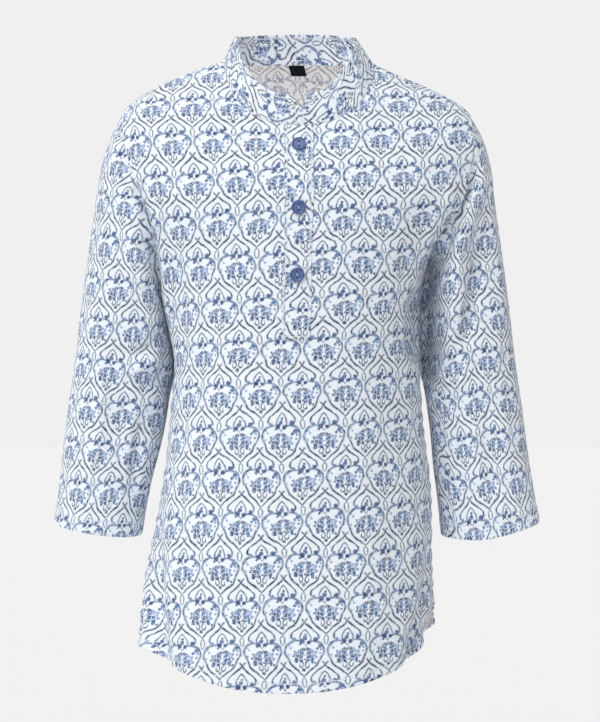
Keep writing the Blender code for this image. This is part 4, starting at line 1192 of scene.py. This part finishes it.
# Each strand's place beside the middle, and how far it leans across the button.
STRANDS = ((-0.30, 0.12), (0.0, -0.1), (0.30, 0.06))
BUTTON_BLUE, BUTTON_DEEP = "#50689a", "#384b76"
THREAD_PALE, THREAD_SHADE = "#aab6d6", "#7d8cb6"


def plain_mesh(name, grids, cover):
    """One mesh of one material from grids of points in millimetres, each closed round."""
    vertices, faces = [], []
    for grid in grids:
        rows, columns = grid.shape[:2]
        index = sum(map(len, vertices)) + np.arange(rows * columns).reshape(rows, columns)
        index = np.concatenate([index, index[:, :1]], axis=1)
        square = np.stack([index[:-1, :-1], index[:-1, 1:], index[1:, 1:], index[1:, :-1]], -1)
        vertices.append(grid.reshape(-1, 3) * MM)
        faces.append(square.reshape(-1, 4))
    mesh = bpy.data.meshes.new(name)
    mesh.from_pydata(np.concatenate(vertices).tolist(), [], np.concatenate(faces).tolist())
    mesh.materials.append(cover)
    mesh.shade_smooth()
    mesh.set_sharp_from_angle(angle=np.radians(50))
    return put(name, mesh)


def resin():
    """Cast polyester resin, tumbled to a low gloss: the eye sees an even slate blue with a faint
    swirl and a soft highlight on the rim."""
    made, tree, shader = material("cast polyester resin, tumbled")
    place = add(tree, "TexCoord").node.outputs["Object"]
    place = add(tree, "VectorMath SCALE", place, 1000.0)
    swirl = add(tree, "TexNoise", place, 0.3, 3.0, 0.5, 2.0, 1.5)
    blue = add(tree, "ValToRGB", swirl, stops=[(0.3, BUTTON_DEEP), (0.62, BUTTON_BLUE)])
    fine = add(tree, "TexNoise", place, 6.0, 2.0)
    gloss = add(tree, "MapRange", fine, 0.3, 0.7, 0.30, 0.44)
    finish_with(tree, shader, {"Base Color": blue, "Roughness": gloss, "IOR": 1.54,
                               "Normal": add(tree, "Bump", 0.25, 0.00006, None, fine)})
    return made


def spun_thread():
    """Spun polyester sewing thread, two-ply: the eye sees a pale blue-white cord with a fine
    slanting twist and no gloss. The twist is 0.4 mm long."""
    made, tree, shader = material("spun polyester thread")
    place = add(tree, "TexCoord").node.outputs["Object"]
    twist = add(tree, "VectorMath DOT_PRODUCT", place, (9000.0, 0.0, 15700.0))
    twist = add(tree, "Math SINE", twist)
    # Painted shade: bands of THREAD_SHADE along the twist stand for the shade between the plies.
    tone = add(tree, "MapRange", twist, -1.0, 1.0, 0.0, 0.35)
    tone = add(tree, "Mix", tone, colour(THREAD_PALE), colour(THREAD_SHADE), data_type="RGBA")
    finish_with(tree, shader, {"Base Color": tone, "Roughness": 0.8,
                               "Normal": add(tree, "Bump", 0.5, 0.0001, None, twist)})
    return made


resin_blue, thread_pale = resin(), spun_thread()
for name, z in BUTTON_Z.items():
    seat = np.array([np.interp(-z, -placket_line[:, 2], placket_line[:, i]) for i in range(3)])
    facing = unit(np.array([np.interp(-z, -placket_line[:, 2], placket_normal[:, i]) for i in range(3)]))
    right = unit(np.array([1.0, 0, 0]) - facing * facing[0])
    up = np.cross(facing, right)

    # The profile is turned round the button's axis: up its side, over a rounded rim into the dish,
    # and in to the middle. Two pits of a smooth well shape are the thread holes.
    sweep = np.linspace(-np.pi / 2, np.pi / 2, 13)
    side_r = BUTTON_RADIUS - BUTTON_THICK * 0.22 * (1 - np.cos(sweep))
    side_h = BUTTON_THICK / 2 * (1 + np.sin(sweep))
    face_r = np.concatenate([np.linspace(BUTTON_RADIUS - BUTTON_RIM, 2.4, 18), np.linspace(2.3, 0.0, 30)])
    face_h = BUTTON_THICK - BUTTON_DISH * ease(0.1, 1.3, BUTTON_RADIUS - BUTTON_RIM - face_r)
    r = np.concatenate([[0.0], side_r, face_r])[:, None]
    h = np.concatenate([[0.0], side_h, face_h])[:, None]
    around = np.linspace(0, 2 * np.pi, 96, endpoint=False)[None, :]
    x, y = r * np.cos(around), r * np.sin(around)
    apart = np.minimum(np.hypot(x, y - HOLE_HALF), np.hypot(x, y + HOLE_HALF))
    well = (1 - ease(HOLE_RADIUS - 0.16, HOLE_RADIUS + 0.12, apart)) * (h > BUTTON_THICK * 0.6)
    h = h - HOLE_DEPTH * well
    grid = seat + facing * SEAM_GAP + x[..., None] * right + y[..., None] * up + h[..., None] * facing
    button = plain_mesh(name + "_resin", [grid[::-1]], resin_blue)

    # Each strand rises from one hole, arches over the bridge and goes down the other.
    strands = []
    arch = np.linspace(0, np.pi, 22)[:, None]
    ring = np.linspace(0, 2 * np.pi, 10, endpoint=False)[None, :]
    for aside, lean in STRANDS:
        path_y = -np.cos(arch) * (HOLE_HALF - 0.4)
        path_h = BUTTON_THICK - BUTTON_DISH - 0.75 + 1.0 * np.sin(arch) ** 0.6
        path_x = aside + lean * np.cos(arch)
        slope = unit(np.gradient(np.concatenate([path_y, path_h], 1), axis=0))
        sy = path_y - slope[:, 1:] * THREAD_RADIUS * np.sin(ring)
        sh = path_h + slope[:, :1] * THREAD_RADIUS * np.sin(ring)
        sx = path_x + THREAD_RADIUS * np.cos(ring)
        strands.append(seat + facing * SEAM_GAP + sx[..., None] * right + sy[..., None] * up
                       + sh[..., None] * facing)
    strand = plain_mesh(name + "_thread", strands, thread_pale)
    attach(button, "root")
    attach(strand, "root")
    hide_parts(name)

# ==== The neck label ===========================================================================
# A small tab of woven polyester satin, near black, folded in half and caught in the neck seam
# inside the back. It is bare on both sides.

LABEL_WALL = 0.6
LABEL_LEFT, LABEL_RIGHT, LABEL_TOP, LABEL_DROP, LABEL_SKEW = -6.4, 6.0, 0.5, 9.7, 2.2
LABEL_CURL = 0.9
RIBS_APART = 0.5
LABEL_BLACK, LABEL_FLECK = "#05060b", "#0c0f18"

back_shares = panel_shares("back")
back_length = chest_fraction("back")[False][2]
middle = surfaces["back"][0][:, len(back_shares) // 2]
fallen = run(middle)
label_rows = []
for drop in np.linspace(LABEL_TOP, LABEL_TOP + LABEL_DROP, 14):
    lean = LABEL_SKEW * (drop - LABEL_TOP) / LABEL_DROP
    across = (np.linspace(LABEL_LEFT, LABEL_RIGHT, 18) - NECK_X + lean) / back_length
    down = np.interp([drop], fallen, np.arange(len(fallen)))
    label_rows.append(patch(surfaces["back"], back_shares, across, down))
points, normal, flat = (np.concatenate([row[i] for row in label_rows]) for i in range(3))
stand_off = np.linspace(0, 1, 14)[:, None, None] ** 2
points = points - normal * ((CLOTH_WALL + LABEL_WALL) / 2 + SEAM_GAP + LABEL_CURL * stand_off)
width, length = flat_lengths(points, np.zeros_like(points[:, :-1]))


def satin():
    """Woven polyester satin tape, loom-woven in near black: the eye sees fine ribs across it 0.5 mm
    apart and a low silky sheen."""
    made, tree, shader = material("woven polyester satin")
    flat = add(tree, "VectorMath SCALE", add(tree, "UVMap", uv_map="Cloth"), 1000.0)
    parts = add(tree, "SeparateXYZ", flat).node.outputs
    rib = add(tree, "Math MULTIPLY", parts["Y"], 2 * np.pi / RIBS_APART)
    rib = add(tree, "Math SINE", rib)
    fleck = add(tree, "TexNoise", flat, 2.5, 3.0)
    tone = add(tree, "ValToRGB", fleck, stops=[(0.3, LABEL_BLACK), (0.7, LABEL_FLECK)])
    finish_with(tree, shader, {"Base Color": tone, "Roughness": 0.7, "Specular IOR Level": 0.15,
                               "Normal": add(tree, "Bump", 0.5, 0.00012, None, rib)})
    return made


woven = satin()
label = cloth_wall("label_cloth", points, normal, np.full(points.shape[:2], LABEL_WALL), flat,
                   np.stack([width, length], -1), (woven, woven), 1)
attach(label, "root")
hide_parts("neck_label")

# ==== The studio ===============================================================================
# A wide floor of matt white paper below the garment, open pale surroundings, and one large soft
# light from the upper left in front. The camera looks straight at the front from chest height.

PAPER = "#f3f3f3"
FLOOR_Z = -620.0
FLOOR_HALF = 12.0
SURROUND = 0.871
CEILING = 0.50
SHADE_SIDE = 0.3
KEY_POWER = 2.05
KEY_SPREAD = 38
KEY_TURN = (38, 0, -33)
INSIDE_POWER = 0.265
INSIDE_PLACE = (0.0, -0.02, -0.16)
CAMERA = (2.8, -2600.0, -231.2)
VIEW_HEIGHT = 577.6

floor_mesh = bpy.data.meshes.new("studio_floor")
corner = np.array([(-1, -1), (1, -1), (1, 1), (-1, 1)]) * FLOOR_HALF
floor_mesh.from_pydata([(x, y, FLOOR_Z * MM) for x, y in corner.tolist()], [], [(0, 1, 2, 3)])
floor = put("studio_floor", floor_mesh)
paper, tree, shader = material("matt background paper")
grain = add(tree, "TexNoise", add(tree, "TexCoord").node.outputs["Object"], 900.0, 2.0)
finish_with(tree, shader, {"Base Color": colour(PAPER), "Roughness": 1.0, "Specular IOR Level": 0.0,
                           "Normal": add(tree, "Bump", 0.1, 0.0001, None, grain)})
floor_mesh.materials.append(paper)

# The surroundings dim overhead and to the right, but not at the horizon, where they meet the floor.
world = bpy.data.worlds.new("pale surroundings")
world.use_nodes = True
tree = world.node_tree
heading = add(tree, "SeparateXYZ", add(tree, "TexCoord")).node.outputs
level = add(tree, "MapRange", heading["Z"], 0.13, 0.30, SURROUND, CEILING, interpolation_type="SMOOTHSTEP")
above = add(tree, "MapRange", heading["Z"], 0.02, 0.08, 0.0, 1.0, interpolation_type="SMOOTHSTEP")
shaded = add(tree, "Math MULTIPLY", heading["X"], above)
shaded = add(tree, "MapRange", shaded, 0.4, 0.9, 1.0, SHADE_SIDE, interpolation_type="SMOOTHSTEP")
level = add(tree, "Math MULTIPLY", level, shaded)
finish_with(tree, tree.nodes["Background"], {"Color": (1.0, 1.0, 1.0, 1), "Strength": level})
bpy.context.scene.world = world

sun = bpy.data.lights.new("soft key", "SUN")
sun.energy = KEY_POWER
sun.angle = np.radians(KEY_SPREAD)
put("soft key", sun).rotation_euler = np.radians(KEY_TURN)

# A small lamp hung in the chest does for the light that would come through the thin cloth.
inside = bpy.data.lights.new("inside light", "POINT")
inside.energy = INSIDE_POWER
inside.shadow_soft_size = 0.03
hung = put("inside light", inside)
hung.location = INSIDE_PLACE
hung.visible_camera = False

lens = bpy.data.cameras.new("front camera")
lens.sensor_width = 36.0
lens.lens = lens.sensor_width * -CAMERA[1] / VIEW_HEIGHT
lens.clip_end = 40.0
camera = put("front camera", lens)
camera.location = np.array(CAMERA) * MM
camera.rotation_euler = (np.pi / 2, 0.0, 0.0)
bpy.context.scene.camera = camera
bpy.context.scene.view_settings.view_transform = "Standard"
